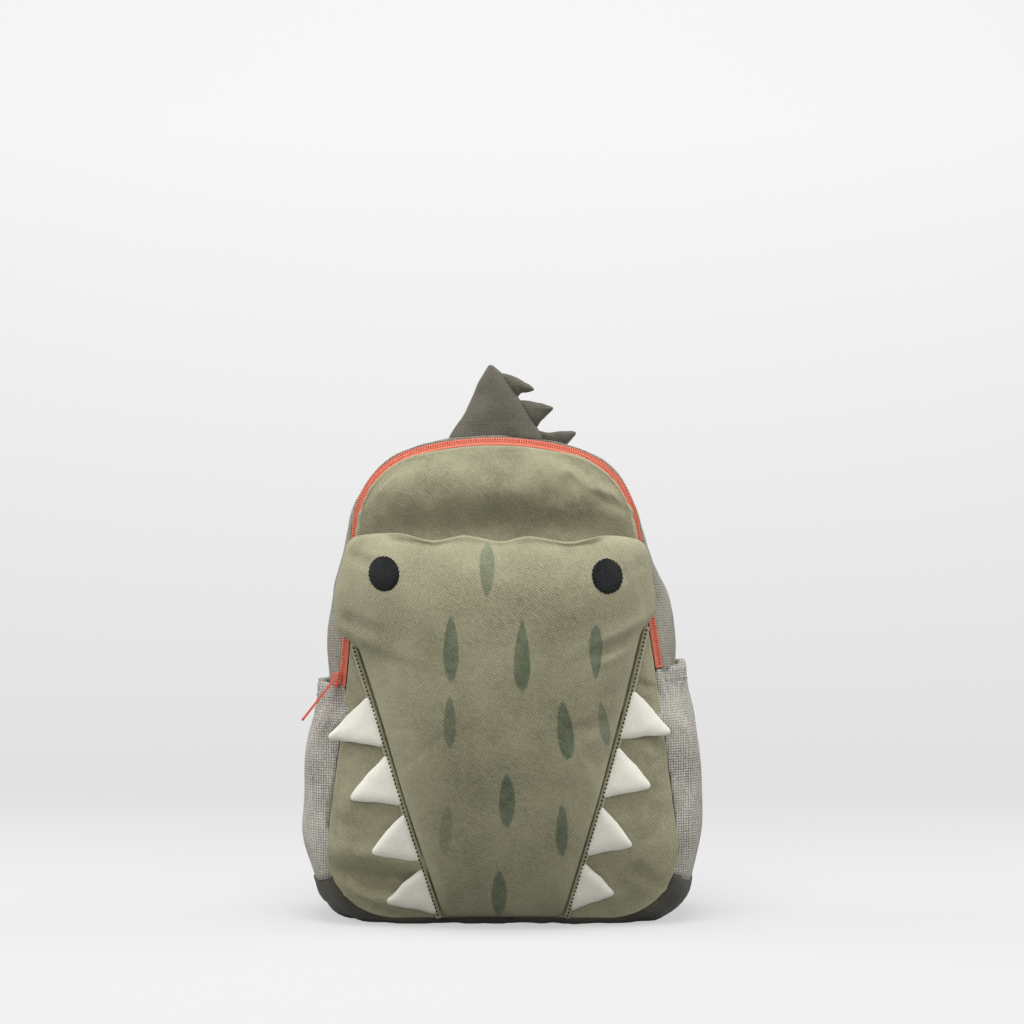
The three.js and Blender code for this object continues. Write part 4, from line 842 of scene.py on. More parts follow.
# %% Drop mark group
def drop_group():
    inputs = [
        ("Vector", "Vector", None), ("Centre", "Vector", None),
        ("Half Width", "Float", 5.0), ("Half Height", "Float", 16.0),
        ("Tilt", "Float", 0.0), ("Fat", "Float", 0.3), ("Strength", "Float", 1.0),
    ]
    tree, given, result = group_of("drop mark", inputs, [("Mask", "Float")])
    place = scaled(tree, given.outputs["Vector"], 1 / MM)
    beside = vector_maths(tree, "SUBTRACT", place, given.outputs["Centre"])
    axis = {"rotation_type": "Y_AXIS"}
    turned = node_in(tree, "VectorRotate", axis, Vector=beside, Angle=given.outputs["Tilt"])
    parts = node_in(tree, "SeparateXYZ", Vector=turned.outputs[0])
    up = maths(tree, "DIVIDE", parts.outputs["Z"], given.outputs["Half Height"])
    out = maths(tree, "DIVIDE", parts.outputs["X"], given.outputs["Half Width"])
    lean = maths(tree, "SUBTRACT", 1.0, maths(tree, "MULTIPLY", up, given.outputs["Fat"]))
    thin = maths(tree, "DIVIDE", out, maths(tree, "MAXIMUM", lean, 0.15))
    wide_share = maths(tree, "POWER", maths(tree, "ABSOLUTE", thin), 1.7)
    reach = maths(tree, "ADD", wide_share, maths(tree, "MULTIPLY", up, up))
    edge = node_in(tree, "TexNoise", Vector=place, Scale=0.9, Detail=2.0)
    frayed = maths(tree, "ADD", reach, maths(tree, "MULTIPLY_ADD", edge.outputs["Fac"], 0.5, -0.25))
    inside = node_in(tree, "MapRange", Value=frayed, From_Min=0.84, From_Max=1.08, To_Min=1.0, To_Max=0.0)
    rubbed = node_in(tree, "TexNoise", Vector=place, Scale=0.22, Detail=4.0, Roughness=0.7)
    kept = node_in(tree, "MapRange", Value=rubbed.outputs["Fac"], From_Min=0.3, From_Max=0.6, To_Min=0.62)
    printed = maths(tree, "MULTIPLY", inside.outputs[0], kept.outputs[0])
    tree.links.new(maths(tree, "MULTIPLY", printed, given.outputs["Strength"]), result.inputs["Mask"])
    return tree


drop_mark = drop_group()
print("drop mark has", len(drop_mark.nodes), "nodes")

# %% Marks on the twill
DROP_TINT = (0.38, 0.5, 0.47)
DROPS = [
    {"x": -9.2, "z": 220.4, "half": 4.5, "tall": 16.4, "tilt": 0, "fat": -0.35, "strength": 0.75},
    {"x": -30.8, "z": 173.5, "half": 4.6, "tall": 20, "tilt": 0, "fat": 0.2, "strength": 0.95},
    {"x": 11.9, "z": 169.3, "half": 4.9, "tall": 21.4, "tilt": 0, "fat": 0.4, "strength": 1},
    {"x": 56.6, "z": 170.9, "half": 4, "tall": 16.8, "tilt": 0, "fat": -0.35, "strength": 0.95},
    {"x": -31.5, "z": 129.3, "half": 3.7, "tall": 15.8, "tilt": 0, "fat": 0.2, "strength": 0.75},
    {"x": 37.9, "z": 124.4, "half": 4.9, "tall": 18.4, "tilt": 6, "fat": 0.3, "strength": 1},
    {"x": 61.7, "z": 127.5, "half": 3.2, "tall": 14.4, "tilt": 10, "fat": 0.3, "strength": 0.7},
    {"x": 2.9, "z": 81.4, "half": 4.9, "tall": 16.8, "tilt": 0, "fat": 0.1, "strength": 1},
    {"x": -34.1, "z": 62.7, "half": 3.9, "tall": 16, "tilt": -5, "fat": 0.1, "strength": 0.42},
    {"x": 36.2, "z": 62.7, "half": 3.7, "tall": 16.8, "tilt": 0, "fat": 0.2, "strength": 0.95},
    {"x": -2, "z": 22.2, "half": 4.7, "tall": 15.4, "tilt": 0, "fat": 0.1, "strength": 0.95},
]
marked_twill = olive_twill.copy()
marked_twill.name = "marked_twill"
marked_tree = marked_twill.node_tree
marked_shader = marked_tree.nodes["Principled BSDF"]
marked_place = node_in(marked_tree, "TexCoord").outputs["Object"]
plain_colour = marked_tree.nodes[marked_twill["washed"]].outputs[2]
mark_masks = []
for row in DROPS:
    mark = marked_tree.nodes.new("ShaderNodeGroup")
    mark.node_tree = drop_mark
    marked_tree.links.new(marked_place, mark.inputs["Vector"])
    mark.inputs["Centre"].default_value = (row["x"], 0, row["z"])
    mark.inputs["Half Width"].default_value = row["half"]
    mark.inputs["Half Height"].default_value = row["tall"]
    mark.inputs["Tilt"].default_value = math.radians(row["tilt"])
    mark.inputs["Fat"].default_value = row["fat"]
    mark.inputs["Strength"].default_value = row["strength"]
    mark_masks.append(mark.outputs["Mask"])
any_mark = mark_masks[0]
for mask in mark_masks[1:]:
    any_mark = maths(marked_tree, "MAXIMUM", any_mark, mask)
printed_colour = mixed(marked_tree, any_mark, plain_colour, (*DROP_TINT, 1), "MULTIPLY")
marked_tree.links.new(printed_colour, marked_shader.inputs["Base Color"])
print("marks on the twill:", len(DROPS))

# %% [markdown]
# ## The snout
#
# The snout is a pocket with a padded front. It is sewn down along both sides and the bottom, and its top
# edge is gathered and open. The same skin and simulation make it, with all of its rim held, and the
# gathers of its top edge run down into it as short creases.

# %% Snout
SNOUT_SPACING = 2.8


def gather_rise(x, z, share):
    near = smoothstep(z, SNOUT_TOP * 0.9, SNOUT_TOP)
    return SNOUT_WAVE * near * share**4 * read_table(TOP_GATHERS, "across", "rise", x / SNOUT_HALF_WIDTH)


snout, snout_shares = soft_skin("padded_snout", snout_outline, snout_y, SNOUT_SPACING, gather_rise)
snout_sewn = [max(0.02, smoothstep(share, 0.92, 1)) for share in snout_shares]
settle(snout, snout_sewn, growth=0.002, pressure=3, out_cap=2, in_cap=2)
# The snout is made paler towards its seam: edge wear and a painted highlight on its rolled rim.
store_wear_and_highlight(snout, [share**12 for share in snout_shares])
apply(snout, "SOLIDIFY", thickness=3.4 * MM, offset=-1)
smooth(snout, 1)
dress(snout, marked_twill, "olive_twill", "snout")


# %% Laying pieces on a skin
def surface_of(piece):
    """Lets other pieces be laid on this one."""
    mesh = piece.data
    return BVHTree.FromPolygons([v.co for v in mesh.vertices], [tuple(p.vertices) for p in mesh.polygons])


def met_by(tree, start, towards):
    """The point and the direction of a skin where a straight line in millimetres first meets it."""
    point, normal, _, _ = tree.ray_cast(Vector(start) * MM, Vector(towards))
    return point, normal


snout_surface = surface_of(snout)
print("the snout's front is at", round(met_by(snout_surface, (0, -400, 150), (0, 1, 0))[0].y / MM, 1), "mm")

# %% [markdown]
# ## Side band, base and side pockets
#
# The band that joins front and back is cloth over thin padding. It is a copy of its CAD wall: its sharp
# edges are creased so that they stay where the seams are, subdivision rounds the rest, and a smooth noise
# gives it the slack folds of a soft bag. Its front edge is drawn in to the panel's seam, so that the zip
# lies between two cloths. The base sags a little over its corners, but never below the floor.

# %% Copies of CAD solids
def copy_of(node, name):
    """A merged copy of a CAD node's mesh, with quads where two triangles make one."""
    piece = bpy.data.objects.new(name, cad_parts[node].data.copy())
    scene.collection.objects.link(piece)
    piece.data.materials.clear()
    alone(piece)
    bpy.ops.mesh.customdata_custom_splitnormals_clear()
    bpy.ops.object.mode_set(mode="EDIT")
    bpy.ops.mesh.select_all(action="SELECT")
    bpy.ops.mesh.remove_doubles(threshold=0.02 * MM)
    bpy.ops.mesh.tris_convert_to_quads()
    bpy.ops.mesh.select_all(action="DESELECT")
    bpy.ops.object.mode_set(mode="OBJECT")
    return piece


def hold_edges(piece, angle, hold=1.0):
    """Creases the edges that turn by more than an angle, so that subdivision keeps them."""
    alone(piece)
    bpy.ops.object.mode_set(mode="EDIT")
    bpy.ops.mesh.select_mode(type="EDGE")
    bpy.ops.mesh.select_all(action="DESELECT")
    bpy.ops.mesh.edges_select_sharp(sharpness=math.radians(angle))
    bpy.ops.transform.edge_crease(value=hold)
    bpy.ops.object.mode_set(mode="OBJECT")


def unwrap(piece):
    """A UV map in metres, each face laid flat along its nearest axis."""
    alone(piece)
    bpy.ops.object.mode_set(mode="EDIT")
    bpy.ops.mesh.select_all(action="SELECT")
    bpy.ops.uv.cube_project(cube_size=1.0)
    bpy.ops.object.mode_set(mode="OBJECT")


def ripple(piece, size, deep, seed=0.0, stretch=(1, 1, 1)):
    """Moves a piece's points in and out by a smooth noise, as crumpled cloth lies."""
    normals = [v.normal.copy() for v in piece.data.vertices]
    for vertex, normal in zip(piece.data.vertices, normals):
        place = Vector(c / (size * s) for c, s in zip(vertex.co / MM, stretch))
        vertex.co += normal * noise.noise(place + Vector((seed, 0, 0))) * deep * MM


def drawn_in(piece, inward, forward, low, high):
    """Draws a side piece's front edge in towards the panel's seam, between two heights that fade."""
    for vertex in piece.data.vertices:
        x, y, z = vertex.co / MM
        near = (1 - smoothstep(y, -46, -22)) * smoothstep(z, *low) * (1 - smoothstep(z, *high))
        seam = shell_outline.middle - Vector((x - lean_at(z), z))
        vertex.co.x += seam.normalized().x * inward * near * MM
        vertex.co.y -= forward * near * MM


def tuck(piece, amount, low, high):
    """Moves a side piece towards the bag's middle, more towards its lower height."""
    for vertex in piece.data.vertices:
        share = 1 - smoothstep(vertex.co.z / MM, low, high)
        side_share = smoothstep(abs(vertex.co.x) / MM, 60, 100)
        vertex.co.x -= math.copysign(amount * share * side_share, vertex.co.x) * MM


def swell(piece, amount, low, high):
    """Pushes a piece out along its normals, more towards its lower height."""
    normals = [v.normal.copy() for v in piece.data.vertices]
    for vertex, normal in zip(piece.data.vertices, normals):
        vertex.co += normal * amount * (1 - smoothstep(vertex.co.z / MM, low, high)) * MM


# %% Band and base
BAND_PULLS = [
    {"inward": 2.4, "forward": 0.6, "low": (126, 150), "high": (262, 284)},
    {"inward": 1.6, "forward": 0.8, "low": (160, 172), "high": (205, 225)},
    {"inward": 6, "forward": 9, "low": (122, 134), "high": (146, 151)},
]
TUCK = (3, 34, 64)
band = copy_of("gusset", "side_band")
hold_edges(band, 50)
smooth(band, 2)
ripple(band, 30, 2.2, seed=3)
ripple(band, 11, 0.5, seed=5)
for row in BAND_PULLS:
    drawn_in(band, **row)
tuck(band, *TUCK)
unwrap(band)
dress(band, grey_cloth, "grey_cloth", "gusset")
base = copy_of("base_panel", "dark_base")
hold_edges(base, 50)
smooth(base, 2)
ripple(base, 15, 2.4, seed=13)
swell(base, 1.6, 18, 34)
for vertex in base.data.vertices:
    vertex.co.z = max(vertex.co.z, 0)
unwrap(base)
dress(base, dark_cloth, "dark_cloth", "base_panel")

# %% [markdown]
# ## Side pockets
#
# An elastic in the hem gathers each side pocket, so small pleats hang from the hem and fade out below it,
# where the cloth bulges. The pleats are a sine wave across the pocket whose phase wanders with noise. Like
# the band, each pocket is drawn in to the panel's seam along its front edge, and tucked in at its foot.

# %% Side pockets
ABOVE_ALL = (400, 401)
POCKET_TOP = {"left": 147, "right": 158}
POCKET_SHUT = {"left": (150, 156), "right": (162, 170)}
HEM_TALL = 6
PLEAT_PITCH = 5.5
PLEAT_DEEP = 1.1
PLEAT_FALL = 60
POCKET_PULLS = [
    {"inward": 2.6, "forward": 1, "low": (20, 30), "high": ABOVE_ALL},
    {"inward": 3.6, "forward": 2, "low": (118, 140), "high": ABOVE_ALL},
]
GROOVE_DEEP = 1.2
GROOVE_Y = -38
GROOVE_WIDE = 5
GROOVE_FOOT = (40, 62)
GROOVE_HEAD = (86, 124)


def pleat(piece, top, seed):
    normals = [v.normal.copy() for v in piece.data.vertices]
    for vertex, normal in zip(piece.data.vertices, normals):
        _, y, z = vertex.co / MM
        wander = noise.noise(Vector((y / 22, z / 40, seed))) * 2.2
        below = smoothstep(z, top - PLEAT_FALL, top - HEM_TALL)
        wave = math.sin((y / PLEAT_PITCH + wander) * 2 * math.pi)
        vertex.co += normal * wave * PLEAT_DEEP * below * (0.7 if z > top - HEM_TALL else 1) * MM


def groove(piece, deep, at):
    """A lengthwise fold low down, beside the panel."""
    for vertex in piece.data.vertices:
        x, y, z = vertex.co / MM
        share = math.exp(-(((y - at) / GROOVE_WIDE) ** 2)) * smoothstep(z, *GROOVE_FOOT)
        share *= 1 - smoothstep(z, *GROOVE_HEAD)
        vertex.co.x -= math.copysign(deep * share, x) * MM


pockets = {}
for side in ("left", "right"):
    pocket = copy_of("pocket_" + side, "gathered_pocket_" + side)
    hold_edges(pocket, 60)
    smooth(pocket, 2)
    ripple(pocket, 20, 1.8, seed=7 if side == "left" else 11, stretch=(1, 1, 1.9))
    pleat(pocket, POCKET_TOP[side], 1.5 if side == "left" else 4.5)
    for row in POCKET_PULLS:
        drawn_in(pocket, **row)
    drawn_in(pocket, 6.6, 9, (116, 130), POCKET_SHUT[side])
    tuck(pocket, *TUCK)
    groove(pocket, GROOVE_DEEP, GROOVE_Y)
    unwrap(pocket)
    dress(pocket, check_cloth, "check_cloth", "pocket_" + side)
    pockets[side] = surface_of(pocket)

# %% [markdown]
# ## The seams that hold the teeth
#
# On each side the snout's edge is turned under and sewn down with a dark thread. The edging is a narrow
# grid bent along the seam and given a thickness, with a row of stitches along its middle. One stitch is
# modelled and copied along the seam, each copy turned to lie on the strip.

# %% Rows of small shapes
def small_round(size, sides=6, rings=4):
    """One rounded little shape, such as a stitch, with few faces."""
    bpy.ops.object.select_all(action="DESELECT")
    bpy.ops.mesh.primitive_uv_sphere_add(segments=sides, ring_count=rings, radius=0.5)
    model = bpy.context.object
    for vertex in model.data.vertices:
        vertex.co = Vector(c * s for c, s in zip(vertex.co, size)) * MM
    return model


def lying(point, along, normal):
    """A place on a surface, its X axis along a row and its Z axis off the surface."""
    side = normal.cross(along).normalized()
    forward = side.cross(normal).normalized()
    turn = Matrix((forward, side, normal)).transposed().to_4x4()
    return Matrix.Translation(point) @ turn


def row_of(name, model, places):
    """Copies one modelled shape to each place, as one mesh, and puts the model away."""
    points = []
    faces = []
    for place in places:
        first = len(points)
        points += [place @ v.co for v in model.data.vertices]
        faces += [[first + i for i in p.vertices] for p in model.data.polygons]
    mesh = bpy.data.meshes.new(name)
    mesh.from_pydata(points, [], faces)
    row = bpy.data.objects.new(name, mesh)
    scene.collection.objects.link(row)
    bpy.data.objects.remove(model)
    alone(row)
    bpy.ops.object.shade_smooth()
    return row


def spaced(points, pitch):
    """Points at an even pitch along a line of points, each with the line's direction there."""
    found = []
    left = pitch / 2
    for a, b in zip(points, points[1:]):
        step = b - a
        while left <= step.length:
            found.append((a + step.normalized() * left, step.normalized()))
            left += pitch
        left -= step.length
    return found


def sewn_row(name, tree, line, towards, pitch, long, thick, thread, slot, sink=0.15):
    """Lays stitches on a skin along a line in millimetres, seen in the direction towards."""
    hits = [met_by(tree, start, towards) for start in line]
    hits = [hit for hit in hits if hit[0]]
    normals = [normal if normal.dot(Vector(towards)) < 0 else -normal for _, normal in hits]
    points = [point for point, _ in hits]
    places = []
    for point, along in spaced(points, pitch * MM):
        nearest = min(range(len(points)), key=lambda i: (points[i] - point).length)
        normal = normals[nearest]
        places.append(lying(point + normal * (thick / 2 - sink) * MM, along, normal))
    row = row_of(name, small_round((long, thick, thick)), places)
    dress(row, thread, slot)
    print(name, len(places), "stitches")
    return row


# %% Edging of the snout
BAND_WIDE = 4
EDGING_PITCH = 2.6
EDGING_STITCH = (1.7, 1.25)


def jaw_seam(side):
    """The ends of the seam that holds the teeth on one side, and its direction away from the snout."""
    ends = []
    for name in ("top", "low"):
        corner = next(c for c in SNOUT_CORNERS if c["seam"] == side + " " + name)
        ends.append(Vector((corner["across"] * SNOUT_HALF_WIDTH, corner["up"] * SNOUT_TOP)))
    down = (ends[1] - ends[0]).normalized()
    out = Vector((down.y, -down.x)) if side == "left" else Vector((-down.y, down.x))
    return ends[0], ends[1], out


def along_seam(side, share, off):
    top, low, out = jaw_seam(side)
    return top.lerp(low, share) + out * off


EDGING_LIFT = 1.4
EDGING_STEPS = 90


def edging_ribbon(side):
    """A narrow grid bent along the seam, rounded across."""
    bpy.ops.object.select_all(action="DESELECT")
    bpy.ops.mesh.primitive_grid_add(x_subdivisions=4, y_subdivisions=EDGING_STEPS, size=2)
    ribbon = bpy.context.object
    ribbon.name = "snout_edging_" + side
    for vertex in ribbon.data.vertices:
        across, down = vertex.co.x, (1 - vertex.co.y) / 2
        off = SEAM_GAP + BAND_WIDE * (across + 1) / 2
        place = along_seam(side, lerp(-0.004, 0.998, down), off)
        wander = noise.noise(Vector((down * 14, across, len(side)))) * 0.35
        x, z = place.x + lean_at(place.y), place.y
        y = panel_y(place.x, z) - REST_GAP - EDGING_LIFT * (1 - across**4 * 0.7) - wander
        vertex.co = Vector((x, y, z)) * MM
    apply(ribbon, "SOLIDIFY", thickness=1.4 * MM, offset=0)
    bpy.ops.object.mode_set(mode="EDIT")
    bpy.ops.mesh.select_all(action="SELECT")
    bpy.ops.mesh.normals_make_consistent(inside=False)
    bpy.ops.object.mode_set(mode="OBJECT")
    smooth(ribbon, 1)
    return ribbon


for side in ("left", "right"):
    edging = edging_ribbon(side)
    dress(edging, olive_edge, "olive_thread", "seam_band_" + side)
    line = []
    for i in range(120):
        place = along_seam(side, lerp(0.004, 0.994, i / 119), SEAM_GAP + BAND_WIDE * 0.5)
        line.append((place.x + lean_at(place.y), -300, place.y))
    stitches = "edging_stitches_" + side
    surface = surface_of(edging)
    sewn_row(stitches, surface, line, (0, 1, 0), EDGING_PITCH, *EDGING_STITCH, dark_thread, "olive_thread")

# %% [markdown]
# ## Teeth
#
# Each tooth is a small cream pillow: two triangles of cloth sewn together along their edges and turned the
# right way out, with a little filling. Two skins over one outline share their rim, which leaves the crisp
# edge of such a seam. Real teeth are never quite straight, so their edges bow in and out a little.

# %% Teeth
TOOTH_REACH = 38
TOOTH_THICK = 3.5
TOOTH_LIFT = 1.5
TOOTH_ROOT = 1.6
TIP_ROUND = 2.3
TOOTH_SPACING = 1.5
TOOTH_COLUMNS = ("side", "number", "from", "to", "reach", "drop", "top", "low")
TOOTH_ROWS = [
    ("left", 1, 0.176, 0.371, 1, 0.887, 0.9, -0.6),
    ("left", 2, 0.383, 0.581, 0.934, 0.927, 0.6, -0.9),
    ("left", 3, 0.593, 0.786, 0.85, 0.87, 0.8, 0.5),
    ("left", 4, 0.798, 0.99, 0.866, 0.75, 0.5, -0.8),
    ("right", 1, 0.2, 0.382, 0.93, 0.944, 0.6, -0.7),
    ("right", 2, 0.394, 0.58, 0.832, 0.836, 0.7, -0.5),
    ("right", 3, 0.592, 0.78, 0.792, 0.839, 0.9, -0.6),
    ("right", 4, 0.792, 0.98, 0.729, 0.649, 0.8, -0.7),
]
TEETH = [dict(zip(TOOTH_COLUMNS, row)) for row in TOOTH_ROWS]


def pillow(name, outline, front, back, spacing):
    """Two skins over one outline, sewn together along their rim."""
    piece, _ = soft_skin(name, outline, front, spacing)
    lining, _ = soft_skin(name + "_lining", outline, back, spacing)
    alone(lining)
    piece.select_set(True)
    bpy.context.view_layer.objects.active = piece
    bpy.ops.object.join()
    bpy.ops.object.mode_set(mode="EDIT")
    bpy.ops.mesh.select_all(action="SELECT")
    bpy.ops.mesh.remove_doubles(threshold=0.02 * MM)
    bpy.ops.mesh.normals_make_consistent(inside=False)
    bpy.ops.object.mode_set(mode="OBJECT")
    return piece


def tooth_outline(row):
    """A triangle with bowed edges, its root under the edging."""
    outward = -1 if row["side"] == "left" else 1
    top = along_seam(row["side"], row["from"], TOOTH_ROOT)
    low = along_seam(row["side"], row["to"], TOOTH_ROOT)
    base = top.lerp(low, row["drop"])
    tip = Vector((base.x + outward * (row["reach"] * TOOTH_REACH - TOOTH_ROOT + TIP_ROUND), base.y))
    bows = [top.lerp(tip, 0.5) + Vector((0, row["top"])), low.lerp(tip, 0.5) - Vector((0, row["low"]))]
    rounds = [(top, 0.8), (low, 0.8), (bows[1], 30), (tip, TIP_ROUND), (bows[0], 30)]
    corners = [{"x": p.x, "z": p.y, "round": r} for p, r in rounds]
    if outward < 0:
        corners.reverse()
    middle = (top + low + tip) / 3
    return Outline(corners, middle), base, outward


for row in TEETH:
    outline, root, outward = tooth_outline(row)

    def resting(x, z):
        reach = min(max(outward * (x - root.x) / TOOTH_REACH, 0), 1)
        return panel_y(x, z) - REST_GAP - 0.7 - TOOTH_LIFT * reach**2

    def tooth_front(x, z, share):
        return resting(x, z) - TOOTH_THICK * (1 - share**3.4) ** 0.6

    def tooth_back(x, z, share):
        return resting(x, z) + 0.6 * (1 - share**4)

    node = f"tooth_{row['side']}_{row['number']}"
    tooth = pillow("stuffed_" + node, outline, tooth_front, tooth_back, TOOTH_SPACING)
    smooth(tooth, 1)
    ripple(tooth, 9, 0.5, seed=row["number"])
    dress(tooth, cream_cloth, "cream_cloth", node)

# %% [markdown]
# ## Tail
#
# The tail is a stuffed cone sewn to the crown, with three flat spikes in the seam along one side. The cone
# is its CAD solid, subdivided and pushed about a little by noise. The spikes are pillows like the teeth,
# and their roots reach into the cone's seam. Each outline lists its points from the tip of the tail down.

# %% Tail
tail = copy_of("tail_body", "stuffed_tail")
smooth(tail, 2)
swell(tail, 1, *ABOVE_ALL)
ripple(tail, 13, 1.3, seed=21)
dress(tail, tail_cloth, "tail_cloth", "tail_body")

# %% Spikes
SPIKE_Y = 24
SPIKE_HALF = 4.4
SPIKE_SPACING = 1.3
SPIKES = [
    [(-3.8, 346.8), (3.3, 345.2), (11.7, 341.3), (18.1, 337.8), (22.3, 333.9),
     (17.5, 333.3), (12.3, 332.6), (9.1, 328.8), (2.5, 334.5), (-1.5, 341.5)],
    [(8.3, 328.8), (15.6, 327.8), (23.9, 326.5), (34.2, 323.3), (29.1, 318.8),
     (24.6, 314.3), (21.7, 309.4), (15.2, 315.5), (10.5, 322.5)],
    [(19.5, 308.8), (29.1, 307.5), (36.8, 308.2), (48.9, 308.2), (44.5, 302.4),
     (38.7, 297), (31.5, 296.5), (25.5, 300), (21.5, 304.5)],
]
for number, points in enumerate(SPIKES, start=1):
    middle = sum((Vector(p) for p in points), Vector((0, 0))) / len(points)
    middle.x -= lean_at(middle.y)
    rim = [{"x": x - lean_at(z), "z": z, "round": 1.1} for x, z in reversed(points)]

    def spike_front(x, z, share):
        return SPIKE_Y - SPIKE_HALF * (1 - share**2.6) ** 0.6

    def spike_back(x, z, share):
        return SPIKE_Y + SPIKE_HALF * (1 - share**2.6) ** 0.6

    name = f"stuffed_tail_spike_{number}"
    spike = pillow(name, Outline(rim, middle), spike_front, spike_back, SPIKE_SPACING)
    smooth(spike, 1)
    ripple(spike, 6, 0.6, seed=number)
    dress(spike, tail_cloth, "tail_cloth", f"tail_spike_{number}")

# %% [markdown]
# ## Zip
#
# The zip follows the front seam over the crown. Its tape is the CAD strip, cut where the pockets hide it.
# The coil is a row of small rounded turns, which is what gives a coil zip its fine beaded line: one turn is
# modelled and copied along the seam. The slider and its pull keep their CAD shape, with their edges bevelled.

# %% Zip tape and coil
ZIP_END = 153
ZIP_END_SLANT = 0.062
ZIP_OUT = 5
ZIP_BACK = 7
TAPE_THICK = 0.8
COIL_RADIUS = 1.1
ZIP_GAP = 0.35
COIL_PITCH = 1.5
COIL_TURN = (1.1, 2.1, 2.1)


def zip_line(share, lift):
    """Points along the zip, and their direction off the tape, at a share of the tape's width."""
    points = shell_outline.points
    slant = math.hypot(ZIP_OUT, ZIP_BACK)
    line = []
    for before, point, after in zip(points[-1:] + points[:-1], points, points[1:] + points[:1]):
        along = (after - before).normalized()
        outward = Vector((along.y, -along.x))
        if point.y > ZIP_END + ZIP_END_SLANT * point.x + 1:
            out = SEAM_GAP + ZIP_OUT * share + lift * ZIP_BACK / slant
            y = seam_y(point.y) + ZIP_BACK * share - lift * ZIP_OUT / slant
            x, z = point + outward * out
            normal = Vector((outward.x * ZIP_BACK, -ZIP_OUT, outward.y * ZIP_BACK)).normalized()
            line.append((Vector((x + lean_at(z), y, z)) * MM, normal))
    return line


tape = copy_of("zip_tape", "coral_zip_tape")
bpy.ops.object.mode_set(mode="EDIT")
bpy.ops.mesh.select_all(action="SELECT")
cut_up = (-ZIP_END_SLANT, 0, 1)
bpy.ops.mesh.bisect(plane_co=(0, 0, ZIP_END * MM), plane_no=cut_up, use_fill=True, clear_inner=True)
bpy.ops.object.mode_set(mode="OBJECT")
hold_edges(tape, 50)
smooth(tape, 1)
unwrap(tape)
dress(tape, coral_tape, "coral_zip", "zip_tape")
coil_line = zip_line(0.5, TAPE_THICK + ZIP_GAP + COIL_RADIUS)
coil_places = []
for place, along in spaced([point for point, _ in coil_line], COIL_PITCH * MM):
    _, normal = min(coil_line, key=lambda row: (row[0] - place).length)
    coil_places.append(lying(place, along, normal))
coil = row_of("coral_zip_coil", small_round(COIL_TURN, 6, 5), coil_places)
dress(coil, coral_plastic, "coral_zip", "zip_coil")
print("turns of the coil:", len(coil_places))

# %% Slider and pull
slider = copy_of("zip_slider", "coral_slider")
apply(slider, "BEVEL", width=0.2 * MM, segments=2, limit_method="ANGLE", angle_limit=math.radians(30))
bpy.ops.object.shade_smooth_by_angle(angle=math.radians(35))
dress(slider, coral_enamel, "coral_metal", "zip_slider")
pull = copy_of("zip_pull", "coral_pull")
apply(pull, "BEVEL", width=0.25 * MM, segments=2, limit_method="ANGLE", angle_limit=math.radians(30))
bpy.ops.object.shade_smooth_by_angle(angle=math.radians(35))
dress(pull, coral_enamel, "coral_metal", "zip_pull", body="zip_pull")

# %% [markdown]
# ## Eyes
#
# The eyes are ovals of dense black satin stitch, which are long stitches side by side. The stitches end in
# a slightly ragged line, and their shine runs across the eye, so the thread's material has its own ridges.
# Its colour is also a little lighter on each ridge, a painted sheen over the thread's random unevenness.

# %% Satin stitch
def satin_stitch():
    material = plain_material("black_thread", colour_of(10, 11, 13), 0.6)
    tree = material.node_tree
    shader = tree.nodes["Principled BSDF"]
    shader.inputs["Specular IOR Level"].default_value = 0.2
    place = scaled(tree, node_in(tree, "TexCoord").outputs["Object"], 1 / MM)
    turned = node_in(tree, "VectorRotate", {"rotation_type": "Y_AXIS"}, Vector=place, Angle=math.radians(12))
    uneven = node_in(tree, "TexNoise", Vector=place, Scale=0.5, Detail=2.0)
    parts = node_in(tree, "SeparateXYZ", Vector=turned.outputs[0])
    wandering = maths(tree, "MULTIPLY_ADD", uneven.outputs["Fac"], 0.8, parts.outputs["X"])
    thread = maths(tree, "SINE", maths(tree, "MULTIPLY", wandering, 2 * math.pi / 0.8))
    # The colour is lighter on each ridge of the stitches: a painted sheen, mixed with random unevenness of
    # the thread.
    shade = maths(tree, "MULTIPLY_ADD", thread, 0.3, uneven.outputs["Fac"])
    colour = mixed(tree, shade, (*colour_of(5, 6, 8), 1), (*colour_of(19, 21, 24), 1))
    tree.links.new(colour, shader.inputs["Base Color"])
    relief = node_in(tree, "Bump", Strength=0.8, Distance=0.3 * MM, Height=thread)
    tree.links.new(relief.outputs["Normal"], shader.inputs["Normal"])
    return material


black_thread = satin_stitch()
print("satin stitch has", len(black_thread.node_tree.nodes), "nodes")

# %% Eyes
EYE_WIDE = 19
EYE_TALL = 21
EYE_HEIGHT = 217.5
EYE_THICK = 0.9
EYE_POINTS = 26
EYES = [
    {"name": "left", "across": -0.713, "rise": 1},
    {"name": "right", "across": 0.689, "rise": -0.5},
]
for row in EYES:
    middle = (row["across"] * SNOUT_HALF_WIDTH, EYE_HEIGHT + row["rise"])
    corners = []
    for i in range(EYE_POINTS * 2):
        angle = i / EYE_POINTS * math.pi
        ragged = 1 + (0.04 if i % 2 else -0.02) + 0.03 * noise.noise(Vector((i * 0.7, row["rise"], 0)))
        x = middle[0] + math.cos(angle) * EYE_WIDE / 2 * ragged
        z = middle[1] + math.sin(angle) * EYE_TALL / 2 * ragged
        corners.append({"x": x, "z": z, "round": 0.2})
    oval = Outline(corners, middle)

    def eye_depth(x, z, share):
        point, _ = met_by(snout_surface, (x + lean_at(z), -400, z), (0, 1, 0))
        return point.y / MM - 0.25 - EYE_THICK * (1 - share**4)

    eye, _ = soft_skin("stitched_eye_" + row["name"], oval, eye_depth, 0.8)
    apply(eye, "SOLIDIFY", thickness=0.25 * MM, offset=-1)
    alone(eye)
    bpy.ops.object.shade_smooth()
    dress(eye, black_thread, "black_thread", "eye_" + row["name"])

